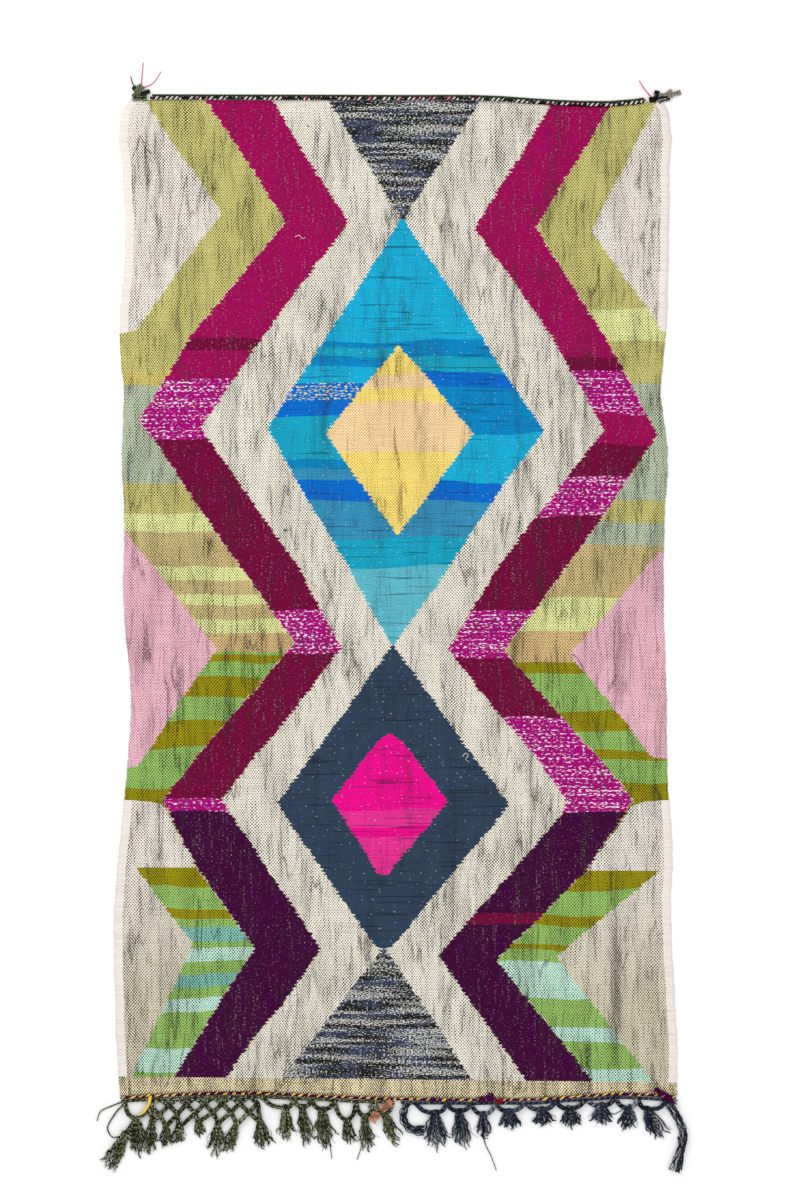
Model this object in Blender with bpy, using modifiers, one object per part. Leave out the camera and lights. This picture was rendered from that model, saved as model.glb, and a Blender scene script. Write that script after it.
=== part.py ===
"""Flat-woven rag rug, laid out on the floor, with a twined heading and a knotted fringe.

The cloth is one sheet with a wandering outline. Yarn work (twining, stitches, net,
tassels and tied ends) is made of short runs of yarn, each a tube that rests on the floor.
Sizes in the tables are millimetres: x from the rug's middle line, +y towards the heading.
"""

import math
import random

import bmesh
import bpy
import numpy as np

MM = 0.001

# Cloth
CLOTH_THICK = 4.0
CLOTH_COLUMNS = 20
CLOTH_ROWS = 36
CORNER_ROW = 27.0  # the first row of the sheet, where the top corners are rounded off
SWELL = 0.8  # how far the upper face rises and falls
HALF_LENGTH = 1219.0  # the top edge lies at +y, the bottom edge at -y

# Outline of the cloth: distance down from the top edge, left edge, right edge
SIDES = (
    (0, -654, 647),
    (27, -676, 664),
    (142, -674, 666),
    (363, -666, 664),
    (583, -681, 657),
    (730, -669, 644),
    (853, -675, 662),
    (1025, -669, 654),
    (1245, -671, 652),
    (1465, -652, 659),
    (1686, -666, 662),
    (1833, -681, 674),
    (1980, -693, 669),
    (2201, -691, 679),
    (2348, -686, 686),
    (2438, -679, 684),
)
# Sag of the top edge and of the bottom edge: place across, how far below the straight line
TOP_SAG = (
    (-654, 0),
    (-300, 1),
    (0, 2),
    (245, 4),
    (343, 11),
    (440, 16),
    (515, 17),
    (588, 11),
    (647, 0),
)
END_SAG = (
    (-679, 2),
    (-540, -5),
    (-370, -9),
    (-150, 0),
    (0, 5),
    (245, 7),
    (343, 6),
    (490, -4),
    (588, -7),
    (684, 2),
)

# Yarn work
GAP = 0.5  # between neighbouring pieces
SETTLE = 0.75  # yarn lying on a floor is flatter than round
TWINE_RADIUS = 4.2
TWINE_BEADS = 84
TWINE_ENDS = (-604.0, 608.0)
CORD_RADIUS = 2.8
CORD_POINTS = 60
CORD_ENDS = (-600.0, 604.0)
CORD_NEST = 0.7  # the cord is thinner than the twining, so it tucks in under its side
STITCH_RADIUS = 3.6
STITCHES = 66
STITCH_ENDS = (-677.0, 682.0)
STRIP_RADIUS = 4.2
NET_RADIUS = 5.2
LOCK_SHARE = 0.44  # a lock's radius against the distance to the next lock
LOCK_LARGEST = 5.6
OVERLAP = 2.5  # how far crossing cords run on
WHISKER = 0.4  # crossing yarns lie up to this much above the floor
GOLDEN = 0.618034  # spreads the strands' own shares evenly
UNEVEN = (0.92, 1.08)  # how yarns differ in thickness
KNOT_RADIUS = 7.0
KNOT_RIDGES = ((-9, 0.62), (-2, 1.0), (3, 0.74), (8, 1.0), (16, 0.55))  # place down the knot, swelling
PINCH = 0.72  # a bead's neck against its belly
STRIP_POINTS = 16

# Tassels: place across, tie below the edge, tip below the edge, lean, spread, locks, knot size
NET_TASSELS = (
    (-600, 70, 146, -6, 26, 3, 1.0),
    (-566, 80, 138, -4, 26, 3, 1.0),
    (-534, 84, 128, -4, 24, 3, 1.5),
    (-488, 72, 110, 6, 20, 3, 1.0),
    (-438, 76, 164, -8, 32, 4, 1.0),
    (-392, 80, 158, -26, 28, 4, 1.0),
    (-334, 76, 142, 6, 44, 5, 1.1),
)
OLIVE_TASSELS = (
    (-640, 58, 152, 10, 40, 5, 1.0),
    (-272, 37, 124, 0, 30, 4, 1.1),
    (-233, 33, 134, 12, 28, 4, 1.1),
    (-184, 37, 138, 8, 40, 5, 1.1),
    (-122, 62, 120, 4, 30, 4, 1.0),
    (-80, 50, 138, 6, 28, 4, 1.0),
    (-32, 42, 118, 24, 28, 4, 1.0),
)
NAVY_TASSELS = (
    (93, 37, 128, 4, 56, 5, 1.1),
    (152, 32, 126, 8, 42, 4, 1.1),
    (211, 40, 104, 2, 30, 4, 1.1),
    (272, 32, 80, 6, 52, 5, 1.0),
    (355, 30, 74, 4, 46, 5, 1.0),
    (423, 32, 82, 4, 46, 5, 1.1),
    (502, 30, 80, -2, 48, 5, 1.1),
    (566, 38, 96, -4, 40, 4, 1.0),
    (612, 40, 114, 26, 50, 5, 1.1),
)
# The tassel that has slipped down at the fringe's left end
END_TASSEL = (-664, 92, 186, -36, 32, 4, 1.7)
# Loose runs of yarn, from a knot or the strip outwards: points across and below the edge
OLIVE_LOOSE = (
    (2.6, ((-670, 13), (-698, 24), (-728, 40), (-735, 61))),
    (3.2, ((-663, 13), (-694, 48), (-709, 82), (-698, 100), (-668, 96))),
    (2.2, ((-184, 37), (-168, 96), (-160, 156))),
    (2.2, ((-80, 50), (-84, 110), (-98, 156))),
)
NAVY_LOOSE = (
    (7.4, ((24, 13), (14, 48), (32, 76), (66, 80))),
    (8.0, ((660, 13), (684, 48), (701, 92), (694, 132), (678, 184))),
    (3.4, ((688, 100), (700, 150), (696, 182))),
    (2.2, ((211, 40), (216, 112), (230, 142), (243, 177))),
    (2.0, ((502, 30), (530, 52), (560, 36))),
)

NET_PITCH = 43.6  # between the net's ties along the edge
NET_FIRST = -581.0
NET_COLUMNS = 6
NET_DROPS = (28.0, 50.0)  # the two rows of crossings below the edge
OLIVE_START = -674.0
OLIVE_END = -8.0
NAVY_START = 10.0
NAVY_END = 676.0

# Tied ends at the corners: start, middle and end of each yarn (across, above the edge), its radius
LEFT_ENDS = (
    ((-648, 6.2), (-632, 6.4), (-613, 6.2), 8.5),
    ((-640, 8), (-632, 24), (-624, 34), 7.5),
    ((-634, 22), (-646, 36), (-653, 58), 2.4),
    ((-627, 31), (-625, 58), (-622, 92), 2.3),
    ((-625, 30), (-602, 38), (-578, 70), 2.2),
)
RIGHT_ENDS = (
    ((617, 6), (630, 6), (636, 24), 7.5),
    ((629, 9), (648, 8), (664, 8), 7.0),
    ((655, 8), (674, 12), (694, 19), 5.2),
    ((650, 8), (660, 18), (672, 25), 4.2),
    ((624, 9), (606, 34), (593, 57), 2.2),
)
ENDS_SHAPE = (0.9, 1.0, 0.75)  # thickness at the start, middle and end

# Loose tail of the stitched row, and the scrap of rag: across, below the edge, height
TAIL = ((-604, 0, 3.6), (-604, 4, 11.2), (-605, 9, 15.2), (-612, 26, 15.0), (-627, 40, 14.6))
TAIL_RADIUS = 3.4
RAG = ((-12, 6), (-30, 20), (-48, 34), (-62, 56))
RAG_WIDTH = 15.4  # measured across and along, as the scrap lies aslant
RAG_ENDS = 0.8  # the scrap narrows at both ends
RAG_THICK = 1.6
RAG_HEIGHT = 11.8

COLOURS = {
    "rug_field": (0.80, 0.76, 0.68),
    "heading_twining": (0.10, 0.09, 0.09),
    "heading_cord": (0.06, 0.09, 0.04),
    "end_stitches": (0.75, 0.52, 0.14),
    "fringe_olive": (0.05, 0.06, 0.03),
    "fringe_navy": (0.03, 0.04, 0.06),
    "corner_left": (0.06, 0.08, 0.04),
    "corner_right": (0.20, 0.20, 0.15),
    "rag_scrap": (0.45, 0.20, 0.10),
}
YARN_ROUGHNESS = 0.95


def through(table, column, at):
    """Smooth curve through a table's rows: the first column is the place, the named one the value."""
    rows = np.array(table, float)
    place, value = rows[:, 0], rows[:, column]
    slope = np.gradient(value, place)
    at = np.clip(at, place[0], place[-1])
    i = np.clip(np.searchsorted(place, at, side="right") - 1, 0, len(place) - 2)
    width = place[i + 1] - place[i]
    t = (at - place[i]) / width
    start = (1 + 2 * t) * (1 - t) ** 2 * value[i] + t * (1 - t) ** 2 * width * slope[i]
    end = t * t * (3 - 2 * t) * value[i + 1] + t * t * (t - 1) * width * slope[i + 1]
    return start + end


def cloth_place(u, v):
    """Place on the sheet for u across (0 left, 1 right) and v down (0 top, 1 bottom), in millimetres."""
    down = v * 2 * HALF_LENGTH
    left = through(SIDES, 1, down)
    right = through(SIDES, 2, down)
    x = left + (right - left) * u
    top = HALF_LENGTH - through(TOP_SAG, 1, x)
    bottom = -HALF_LENGTH - through(END_SAG, 1, x)
    return x, top + (bottom - top) * v


def edge_line(v):
    """The cloth's own edge points at v 0 or 1, so that what lies along it follows the same corners."""
    u = np.linspace(0, 1, CLOTH_COLUMNS + 1)
    return cloth_place(u, np.full_like(u, v))


def below_end(x, distance):
    """y of a point this far below the bottom edge."""
    edge_x, edge_y = edge_line(1.0)
    return float(np.interp(x, edge_x, edge_y)) - distance


def above_top(x, distance):
    """y of a point this far above the top edge."""
    edge_x, edge_y = edge_line(0.0)
    return float(np.interp(x, edge_x, edge_y)) + distance


def finish(obj, name, collection):
    """Names the object, gives it its own yarn material and puts it in the rug's collection."""
    obj.name = name
    obj.data.name = name
    material = bpy.data.materials.new(name)
    material.use_nodes = True
    surface = material.node_tree.nodes["Principled BSDF"]
    surface.inputs["Base Color"].default_value = (*COLOURS[name], 1.0)
    surface.inputs["Roughness"].default_value = YARN_ROUGHNESS
    obj.data.materials.clear()
    obj.data.materials.append(material)
    collection.objects.link(obj)
    return obj


def yarns(strands, lift=0.0):
    """One mesh object of four-sided yarns: each strand is a list of (x, y, z, radius).

    No two strands lie at quite the same height: each is raised by its own share of lift.
    """
    curve = bpy.data.curves.new("yarns", "CURVE")
    curve.dimensions = "3D"
    curve.twist_mode = "Z_UP"
    curve.bevel_depth = MM
    curve.bevel_resolution = 0
    curve.use_fill_caps = True
    for i, strand in enumerate(strands):
        raised = lift * ((i + 1) * GOLDEN % 1.0)
        spline = curve.splines.new("POLY")
        spline.points.add(len(strand) - 1)
        for point, (x, y, z, radius) in zip(spline.points, strand):
            point.co = (x * MM, y * MM, (z + raised) * MM, 1)
            point.radius = radius
    guide = bpy.data.objects.new("yarns", curve)
    bpy.context.scene.collection.objects.link(guide)
    graph = bpy.context.evaluated_depsgraph_get()
    mesh = bpy.data.meshes.new_from_object(guide.evaluated_get(graph))
    bpy.data.objects.remove(guide)
    bm = bmesh.new()
    bm.from_mesh(mesh)
    bmesh.ops.remove_doubles(bm, verts=bm.verts, dist=1e-6)
    for vert in bm.verts:
        vert.co.z *= SETTLE
    bmesh.ops.recalc_face_normals(bm, faces=bm.faces)
    bm.to_mesh(mesh)
    bm.free()
    return bpy.data.objects.new("yarns", mesh)


def knotted(name, base, strands, rug, helpers):
    """The base yarn with every strand fused to it, as one solid."""
    rest = yarns(strands, WHISKER)
    rest.name = name + "_strands"
    rest.hide_render = True
    rest.display_type = "WIRE"
    helpers.objects.link(rest)
    solid = finish(yarns([base]), name, rug)
    union = solid.modifiers.new("fused", "BOOLEAN")
    union.operation = "UNION"
    union.solver = "EXACT"
    union.use_self = True
    union.object = rest
    return solid


def make_cloth(rug):
    """The woven sheet: flat below, and a little uneven above."""
    bm = bmesh.new()
    bmesh.ops.create_grid(bm, x_segments=CLOTH_COLUMNS, y_segments=CLOTH_ROWS, size=0.5)
    corner = CORNER_ROW / (2 * HALF_LENGTH)
    for vert in bm.verts:
        u, v = vert.co.x + 0.5, 0.5 - vert.co.y
        row = round(v * CLOTH_ROWS)
        v = corner + (row - 1) / (CLOTH_ROWS - 1) * (1 - corner) if row else 0.0
        x, y = cloth_place(np.array(u), np.array(v))
        wave = math.sin(9.1 * u + 2.3 * v) * math.cos(13.7 * v - 4.0 * u)
        rim = min(u, 1 - u, v, 1 - v) < 1e-6
        height = CLOTH_THICK + (0 if rim else SWELL * wave)
        vert.co = (float(x) * MM, float(y) * MM, height * MM)
    lower = bmesh.ops.extrude_face_region(bm, geom=list(bm.faces))["geom"]
    under = [item for item in lower if isinstance(item, bmesh.types.BMFace)]
    for vert in {vert for face in under for vert in face.verts}:
        vert.co.z = 0
    bmesh.ops.dissolve_faces(bm, faces=under)
    bmesh.ops.recalc_face_normals(bm, faces=bm.faces)
    mesh = bpy.data.meshes.new("rug_field")
    bm.to_mesh(mesh)
    bm.free()
    finish(bpy.data.objects.new("rug_field", mesh), "rug_field", rug)


def beaded(ends, beads, radius, y_at):
    """A run of twined yarn: bellies and necks in turn, at y_at(x), between its two ends."""
    first, last = ends
    strand = []
    for i in range(2 * beads + 1):
        x = first + (last - first) * i / (2 * beads)
        strand.append((x, y_at(x), radius, radius if i % 2 else radius * PINCH))
    return strand


def make_heading(rug):
    """The twined row above the top edge, and the green cord outside it."""
    twine_at = GAP + TWINE_RADIUS
    cord_at = twine_at + TWINE_RADIUS + GAP + CORD_RADIUS - CORD_NEST
    twine = beaded(TWINE_ENDS, TWINE_BEADS, TWINE_RADIUS, lambda x: above_top(x, twine_at))
    finish(yarns([twine]), "heading_twining", rug)
    outer = [lying(x, above_top(x, cord_at), CORD_RADIUS) for x in np.linspace(*CORD_ENDS, CORD_POINTS)]
    finish(yarns([outer]), "heading_cord", rug)


def make_end_stitches(rug, helpers):
    """The stitched row below the bottom edge, with its loose yellow tail."""
    stitch_at = GAP + STITCH_RADIUS
    row = beaded(STITCH_ENDS, STITCHES, STITCH_RADIUS, lambda x: below_end(x, stitch_at))
    tail = []
    for x, drop, z in TAIL:
        tail.append((x, below_end(x, stitch_at + drop), z, TAIL_RADIUS))
    knotted("end_stitches", row, [tail], rug, helpers)


def lying(x, y, radius):
    """A point of a yarn that rests on the floor."""
    return (x, y, radius, radius)


def tassel(row, rng):
    """A ridged knot and the locks that fan out below it."""
    across, tie, tip, lean, spread, locks, size = row
    top = below_end(across, tie)
    fall = tip - tie
    knot = []
    for step, swell in KNOT_RIDGES:
        knot.append(lying(across + lean * step / fall, top - step * size, KNOT_RADIUS * size * swell))
    strands = [knot]
    width = min(LOCK_SHARE * spread / (locks - 1), LOCK_LARGEST)
    for i in range(locks):
        side = i / (locks - 1) - 0.5
        reach = fall * (1 - 0.4 * abs(side) + rng.uniform(-0.08, 0.05))
        lock = [
            lying(across + side * 4, top - 4 * size, width * 0.8),
            lying(across + lean * 0.4 + side * spread, top - reach * 0.5, width),
            lying(across + lean + side * spread * rng.uniform(0.95, 1.2), top - reach, width * 0.4),
        ]
        strands.append(lock)
    return strands


def past(start, end, distance):
    """The point this far beyond end, on the line from start, so that crossing cords cross fully."""
    length = math.dist(start, end)
    return tuple(b + (b - a) / length * distance for a, b in zip(start, end))


def cord(start, end, rng):
    """A straight cord of the net between two knots."""
    radius = NET_RADIUS * rng.uniform(*UNEVEN)
    return [lying(*past(end, start, OVERLAP), radius), lying(*past(start, end, OVERLAP), radius)]


def swag(start, end, sag, rng):
    """A bowed cord of the net, swollen in its middle."""
    radius = NET_RADIUS * rng.uniform(*UNEVEN)
    middle = ((start[0] + end[0]) / 2, (start[1] + end[1]) / 2 - sag)
    return [
        lying(*start, radius * 0.85),
        lying(*middle, radius * 1.1),
        lying(*past(middle, end, OVERLAP), radius * 0.85),
    ]


def loose(row):
    """A loose run of yarn that thins towards its end."""
    radius, points = row
    strand = []
    for i, (x, drop) in enumerate(points):
        thin = 1 - 0.55 * i / (len(points) - 1)
        strand.append(lying(x, below_end(x, drop), radius * thin))
    return strand


def band_drop():
    """How far below the edge the middle of the fringe's own strip lies."""
    return GAP + 2 * STITCH_RADIUS + GAP + STRIP_RADIUS


def at_strip(x):
    """The point of the strip that a cord starts from."""
    return (x, below_end(x, band_drop()))


def strip(first, last):
    """The narrow band of crossed yarn that the fringe hangs from."""
    points = [at_strip(x) for x in np.linspace(first, last, STRIP_POINTS)]
    return [lying(x, y, STRIP_RADIUS) for x, y in points]


def net(rng):
    """Rows of crossing cords below the strip, and the points that tassels hang from."""
    places = [NET_FIRST + NET_PITCH * i for i in range(NET_COLUMNS)]
    upper = []
    for x in [places[0] - NET_PITCH] + places:
        across = x + NET_PITCH / 2 + rng.uniform(-2, 2)
        upper.append((across, below_end(across, NET_DROPS[0] + rng.uniform(-2, 2))))
    lower = [(x, below_end(x, NET_DROPS[1] + rng.uniform(-2, 3))) for x in places]
    strands = []
    for left, right, x, low in zip(upper, upper[1:], places, lower):
        for side in (left, right):
            strands.append(cord(at_strip(x), side, rng))
            strands.append(cord(side, low, rng))
    return strands, [upper[0]] + lower + [upper[-1]]


def swags(tassels, first, last, rng):
    """Cords that carry each tassel from two ties on the strip, midway to its neighbours."""
    places = [row[0] for row in tassels]
    ties = [first] + [(a + b) / 2 for a, b in zip(places, places[1:])] + [last]
    strands = []
    for row, left, right in zip(tassels, ties, ties[1:]):
        knot = (row[0], below_end(row[0], row[1] - 2))
        strands.append(swag(at_strip(left + 1.5), knot, 3, rng))
        strands.append(swag(at_strip(right - 1.5), knot, 3, rng))
    return strands


def make_olive_fringe(rug, helpers):
    """Two rows of net, then one row of swags, with tassels on the knots."""
    rng = random.Random(11)
    strands, points = net(rng)
    for row in NET_TASSELS:
        near = sorted(points, key=lambda point: abs(point[0] - row[0]))[:2]
        knot = (row[0], below_end(row[0], row[1] - 2))
        strands += [cord(point, knot, rng) for point in near]
    edge = OLIVE_TASSELS[0]
    strands += swags((edge,), OLIVE_START + 6, NET_FIRST - NET_PITCH / 2, rng)
    strands += swags(OLIVE_TASSELS[1:], NET_FIRST + NET_PITCH * (NET_COLUMNS - 0.3), OLIVE_END - 3, rng)
    slipped = (END_TASSEL[0], below_end(END_TASSEL[0], END_TASSEL[1]))
    strands.append(cord((edge[0], below_end(edge[0], edge[1])), slipped, rng))
    for row in NET_TASSELS + OLIVE_TASSELS + (END_TASSEL,):
        strands += tassel(row, rng)
    strands += [loose(row) for row in OLIVE_LOOSE]
    knotted("fringe_olive", strip(OLIVE_START, OLIVE_END), strands, rug, helpers)


def make_navy_fringe(rug, helpers):
    """One row of shallow swags between the tassels."""
    rng = random.Random(23)
    strands = swags(NAVY_TASSELS, NAVY_START + 34, NAVY_END - 14, rng)
    for row in NAVY_TASSELS:
        strands += tassel(row, rng)
    strands += [loose(row) for row in NAVY_LOOSE]
    knotted("fringe_navy", strip(NAVY_START, NAVY_END), strands, rug, helpers)


def make_corner(name, ends, rug, helpers):
    """Yarn ends tied together outside a corner of the top edge."""
    strands = []
    for start, middle, end, radius in ends:
        run = []
        for (x, up), size in zip((start, middle, end), ENDS_SHAPE):
            run.append(lying(x, above_top(x, up), radius * size))
        strands.append(run)
    knotted(name, strands[0], strands[1:], rug, helpers)


def make_rag(rug):
    """A scrap of rag lying over the net."""
    bm = bmesh.new()
    pairs = []
    for i, (across, drop) in enumerate(RAG):
        half = RAG_WIDTH / 2 * (RAG_ENDS if i in (0, len(RAG) - 1) else 1.0)
        y = below_end(across, drop + GAP + STITCH_RADIUS)
        for side in (-1, 1):
            pairs.append(bm.verts.new(((across + side * half) * MM, (y - side * half) * MM, RAG_HEIGHT * MM)))
    for i in range(len(RAG) - 1):
        bm.faces.new((pairs[2 * i], pairs[2 * i + 1], pairs[2 * i + 3], pairs[2 * i + 2]))
    bmesh.ops.recalc_face_normals(bm, faces=bm.faces)
    mesh = bpy.data.meshes.new("rag_scrap")
    bm.to_mesh(mesh)
    bm.free()
    scrap = finish(bpy.data.objects.new("rag_scrap", mesh), "rag_scrap", rug)
    thick = scrap.modifiers.new("cloth", "SOLIDIFY")
    thick.thickness = RAG_THICK * MM
    thick.offset = 0


def centre(rug):
    """Moves everything so that the footprint's middle is the origin."""
    bpy.context.view_layer.update()
    graph = bpy.context.evaluated_depsgraph_get()
    corners = []
    for obj in rug.objects:
        shown = obj.evaluated_get(graph)
        corners += [shown.matrix_world @ vert.co for vert in shown.data.vertices]
    corners = np.array(corners)
    middle = (corners.min(axis=0) + corners.max(axis=0)) / 2
    for obj in bpy.data.objects:
        obj.location.x -= middle[0]
        obj.location.y -= middle[1]


def main():
    for obj in list(bpy.data.objects):
        bpy.data.objects.remove(obj)
    rug = bpy.data.collections.new("rug")
    helpers = bpy.data.collections.new("rug_helpers")
    bpy.context.scene.collection.children.link(rug)
    bpy.context.scene.collection.children.link(helpers)
    make_cloth(rug)
    make_heading(rug)
    make_end_stitches(rug, helpers)
    make_olive_fringe(rug, helpers)
    make_navy_fringe(rug, helpers)
    make_corner("corner_left", LEFT_ENDS, rug, helpers)
    make_corner("corner_right", RIGHT_ENDS, rug, helpers)
    make_rag(rug)
    centre(rug)


main()
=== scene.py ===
# %% [markdown]
# A hand-woven rag rug, seen from straight above
#
# The rug is a flat weave: coloured weft packed over a dark warp, in stacked lozenges
# between zigzag bands. Its top edge has a twined heading and its bottom edge a row of
# slanted stitches and a knotted net fringe in two yarns. This lesson builds it as three
# kinds of thing: one sheet, worked out as a grid; a painted weave, worked out by the
# material; and yarn, worked out as tubes along many paths at once.
#
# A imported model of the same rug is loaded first. Every piece takes its place from that
# model's own edges, so that nothing here can drift away from it.

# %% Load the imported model, which fixes every size and place
import math

import bpy
import numpy as np
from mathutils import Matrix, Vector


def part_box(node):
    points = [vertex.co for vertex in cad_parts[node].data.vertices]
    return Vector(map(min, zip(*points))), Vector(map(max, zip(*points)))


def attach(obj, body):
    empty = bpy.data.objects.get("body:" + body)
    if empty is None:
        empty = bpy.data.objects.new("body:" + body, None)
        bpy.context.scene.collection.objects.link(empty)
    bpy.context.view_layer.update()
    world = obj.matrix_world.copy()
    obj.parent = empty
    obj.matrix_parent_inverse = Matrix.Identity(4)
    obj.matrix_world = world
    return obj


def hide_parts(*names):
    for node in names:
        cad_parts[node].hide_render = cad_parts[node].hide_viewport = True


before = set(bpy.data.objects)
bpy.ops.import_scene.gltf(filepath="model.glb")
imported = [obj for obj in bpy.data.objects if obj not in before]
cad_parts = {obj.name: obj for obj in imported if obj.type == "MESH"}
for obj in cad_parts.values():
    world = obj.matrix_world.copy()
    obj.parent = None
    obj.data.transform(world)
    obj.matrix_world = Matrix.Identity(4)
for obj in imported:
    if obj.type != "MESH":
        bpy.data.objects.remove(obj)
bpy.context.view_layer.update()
cloth_low, cloth_high = (np.array(corner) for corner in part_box("rug_field"))

CM = 0.01
MM = 0.001
# The cloth's middle line and its straight top edge, from which the weaver's chart is counted
SELVEDGE_REACH = (-0.693, 0.686)  # the widest places of the two sides, from the middle line
MIDDLE_X = float(cloth_low[0] + cloth_high[0] - sum(SELVEDGE_REACH)) / 2
TOP_Y = float(cloth_high[1])
WIDTH, LENGTH = 1.35, 2.438  # of the cloth when flat

# %% [markdown]
# Materials are written as sums. A Wire stands for one value inside a material, and plus,
# minus, times and divide on it add the Math nodes, so that a formula reads as it would on
# paper. Every other node comes from one method, which takes the node's type, its settings
# and what goes into its sockets. The other way is to place and link each node by hand,
# which is slower to read than the formula that it stands for.

# %% The class that turns formulas into nodes
class Wire:
    """One value in a material's node tree."""

    def __init__(self, tree, socket):
        self.tree, self.socket = tree, socket

    def node(self, kind, settings=None, inputs=None, output=0):
        """Adds a node: its settings first, then the values or links of its sockets."""
        made = self.tree.nodes.new("ShaderNode" + kind)
        for name, value in (settings or {}).items():
            if name == "stops":
                fill_ramp(made.color_ramp, value)
            elif name == "corners":
                fill_curve(made.mapping, value)
            else:
                setattr(made, name, value)
        for name, value in (inputs or {}).items():
            if isinstance(value, Wire):
                self.tree.links.new(value.socket, made.inputs[name])
            else:
                made.inputs[name].default_value = value
        return Wire(self.tree, made.outputs[output])

    def also(self, output):
        """Another output of the same node."""
        return Wire(self.tree, self.socket.node.outputs[output])

    def math(self, operation, *others):
        return self.node("Math", {"operation": operation}, dict(enumerate((self, *others))))

    def __add__(self, other):
        return self.math("ADD", other)

    def __radd__(self, other):
        return self.math("ADD", other)

    def __sub__(self, other):
        return self.math("SUBTRACT", other)

    def __rsub__(self, other):
        return self.node("Math", {"operation": "SUBTRACT"}, {0: other, 1: self})

    def __mul__(self, other):
        return self.math("MULTIPLY", other)

    def __rmul__(self, other):
        return self.math("MULTIPLY", other)

    def __truediv__(self, other):
        return self.math("DIVIDE", other)

    def __gt__(self, other):
        return self.math("GREATER_THAN", other)

    def __lt__(self, other):
        return self.math("LESS_THAN", other)

    def ramp(self, low, high, start=0.0, end=1.0):
        """Straight from start to end as the value goes from low to high, and level past them."""
        ends = {"Value": self, "From Min": low, "From Max": high, "To Min": start, "To Max": end}
        return self.node("MapRange", {"clamp": True}, ends)


print("signs that add a Math node: + - * / > <")

# %% [markdown]
# The dyes are named as on a paint chart, from 0 to 255, because that is how a colour is
# matched, and then made linear for the renderer. Wool scatters light with hardly
# any shine, so every finish is rough. The unevenness of wool is longer one way than the
# other, so one soft noise, stretched differently each time, serves for all of it.

# %% Dyes, finishes and stretched noise
def fill_ramp(ramp, stops):
    """Puts (place, colour) stops on a colour ramp that jumps from one to the next."""
    ramp.interpolation = "CONSTANT"
    while len(ramp.elements) > 1:
        ramp.elements.remove(ramp.elements[-1])
    for i, (place, colour) in enumerate(stops):
        stop = ramp.elements[0] if i == 0 else ramp.elements.new(place)
        stop.position = place
        stop.color = colour


def fill_curve(mapping, corners):
    """Puts (place, value) corners on a curve that runs straight from one to the next."""
    curve = mapping.curves[0]
    while len(curve.points) < len(corners):
        curve.points.new(0.5, 0.5)
    for point, corner in zip(curve.points, corners):
        point.location = corner
        point.handle_type = "VECTOR"
    mapping.update()


def paint(red, green, blue):
    """A colour as a paint chart gives it, 0 to 255, made linear as the renderer needs it."""
    share = np.array((red, green, blue)) / 255
    linear = np.where(share <= 0.04045, share / 12.92, ((share + 0.055) / 1.055) ** 2.4)
    return (*(float(value) for value in linear), 1.0)


def mix(mask, low, high, blend="MIX"):
    """Colour low where the mask is 0 and high where it is 1."""
    return mask.node("Mix", {"data_type": "RGBA", "blend_type": blend}, {0: mask, 6: low, 7: high}, 2)


def finish(name, roughness=0.95):
    """A new material: its Object coordinates and its surface shader, which waits for a colour."""
    material = bpy.data.materials.new(name)
    material.use_nodes = True
    surface = material.node_tree.nodes["Principled BSDF"]
    surface.inputs["Roughness"].default_value = roughness
    surface.inputs["Specular IOR Level"].default_value = 0.1
    place = material.node_tree.nodes.new("ShaderNodeTexCoord")
    return material, Wire(material.node_tree, place.outputs["Object"]), surface


def apply_to(surface, colour, height, depth):
    """Sends a colour and a bump height, of that depth in metres, to the surface shader."""
    tree = height.tree
    tree.links.new(colour.socket, surface.inputs["Base Color"])
    bump = height.node("Bump", inputs={"Height": height, "Distance": depth, "Strength": 1.0})
    tree.links.new(bump.socket, surface.inputs["Normal"])


def stretched(place, across, along, seed, detail=1.0):
    """Soft noise from 0 to 1 whose grains are 1/across metres wide and 1/along metres long."""
    shift = (seed * 7.1, seed * 3.3, 0.0)
    moved = {"Vector": place, "Location": shift, "Scale": (across, along, 1.0)}
    grain = {"Vector": place.node("Mapping", inputs=moved), "Scale": 1.0, "Detail": detail}
    return place.node("TexNoise", {"noise_dimensions": "2D"}, grain)


print("finishes ready, cream is", tuple(round(value, 3) for value in paint(246, 238, 227)))

# %% [markdown]
# The stage is a pale floor under soft light, as a rug is photographed for a catalogue. A
# bright even sky does most of the work, and two large lamps give the creases and the
# knots a little shadow. Small lamps would throw hard shadows that the picture hasn't.

# %% Floor, sky and lamps
FLOOR_HALF = 14.0
FLOOR_DROP = 0.0006  # a hair below the rug, so that the two never share a plane
SKY_STRENGTH = 0.82
# Each square lamp: its name, its place, its side in metres and its power in watts
LAMPS = (
    ("soft_key", (-2.6, 2.4, 3.4), 2.0, 70),
    ("soft_fill", (2.8, -1.6, 4.2), 3.0, 40),
)


def make_floor():
    material, _, surface = finish("pale_floor", roughness=0.9)
    surface.inputs["Base Color"].default_value = paint(250, 250, 250)
    signs = ((-1, -1), (1, -1), (1, 1), (-1, 1))
    corners = [(x * FLOOR_HALF, y * FLOOR_HALF, -FLOOR_DROP) for x, y in signs]
    mesh = bpy.data.meshes.new("studio_floor")
    mesh.from_pydata(corners, [], [(0, 1, 2, 3)])
    mesh.materials.append(material)
    floor = bpy.data.objects.new("studio_floor", mesh)
    bpy.context.scene.collection.objects.link(floor)


def make_sky():
    world = bpy.data.worlds.new("studio_sky")
    world.use_nodes = True
    sky = world.node_tree.nodes["Background"]
    sky.inputs["Color"].default_value = paint(255, 255, 255)
    sky.inputs["Strength"].default_value = SKY_STRENGTH
    bpy.context.scene.world = world


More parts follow.
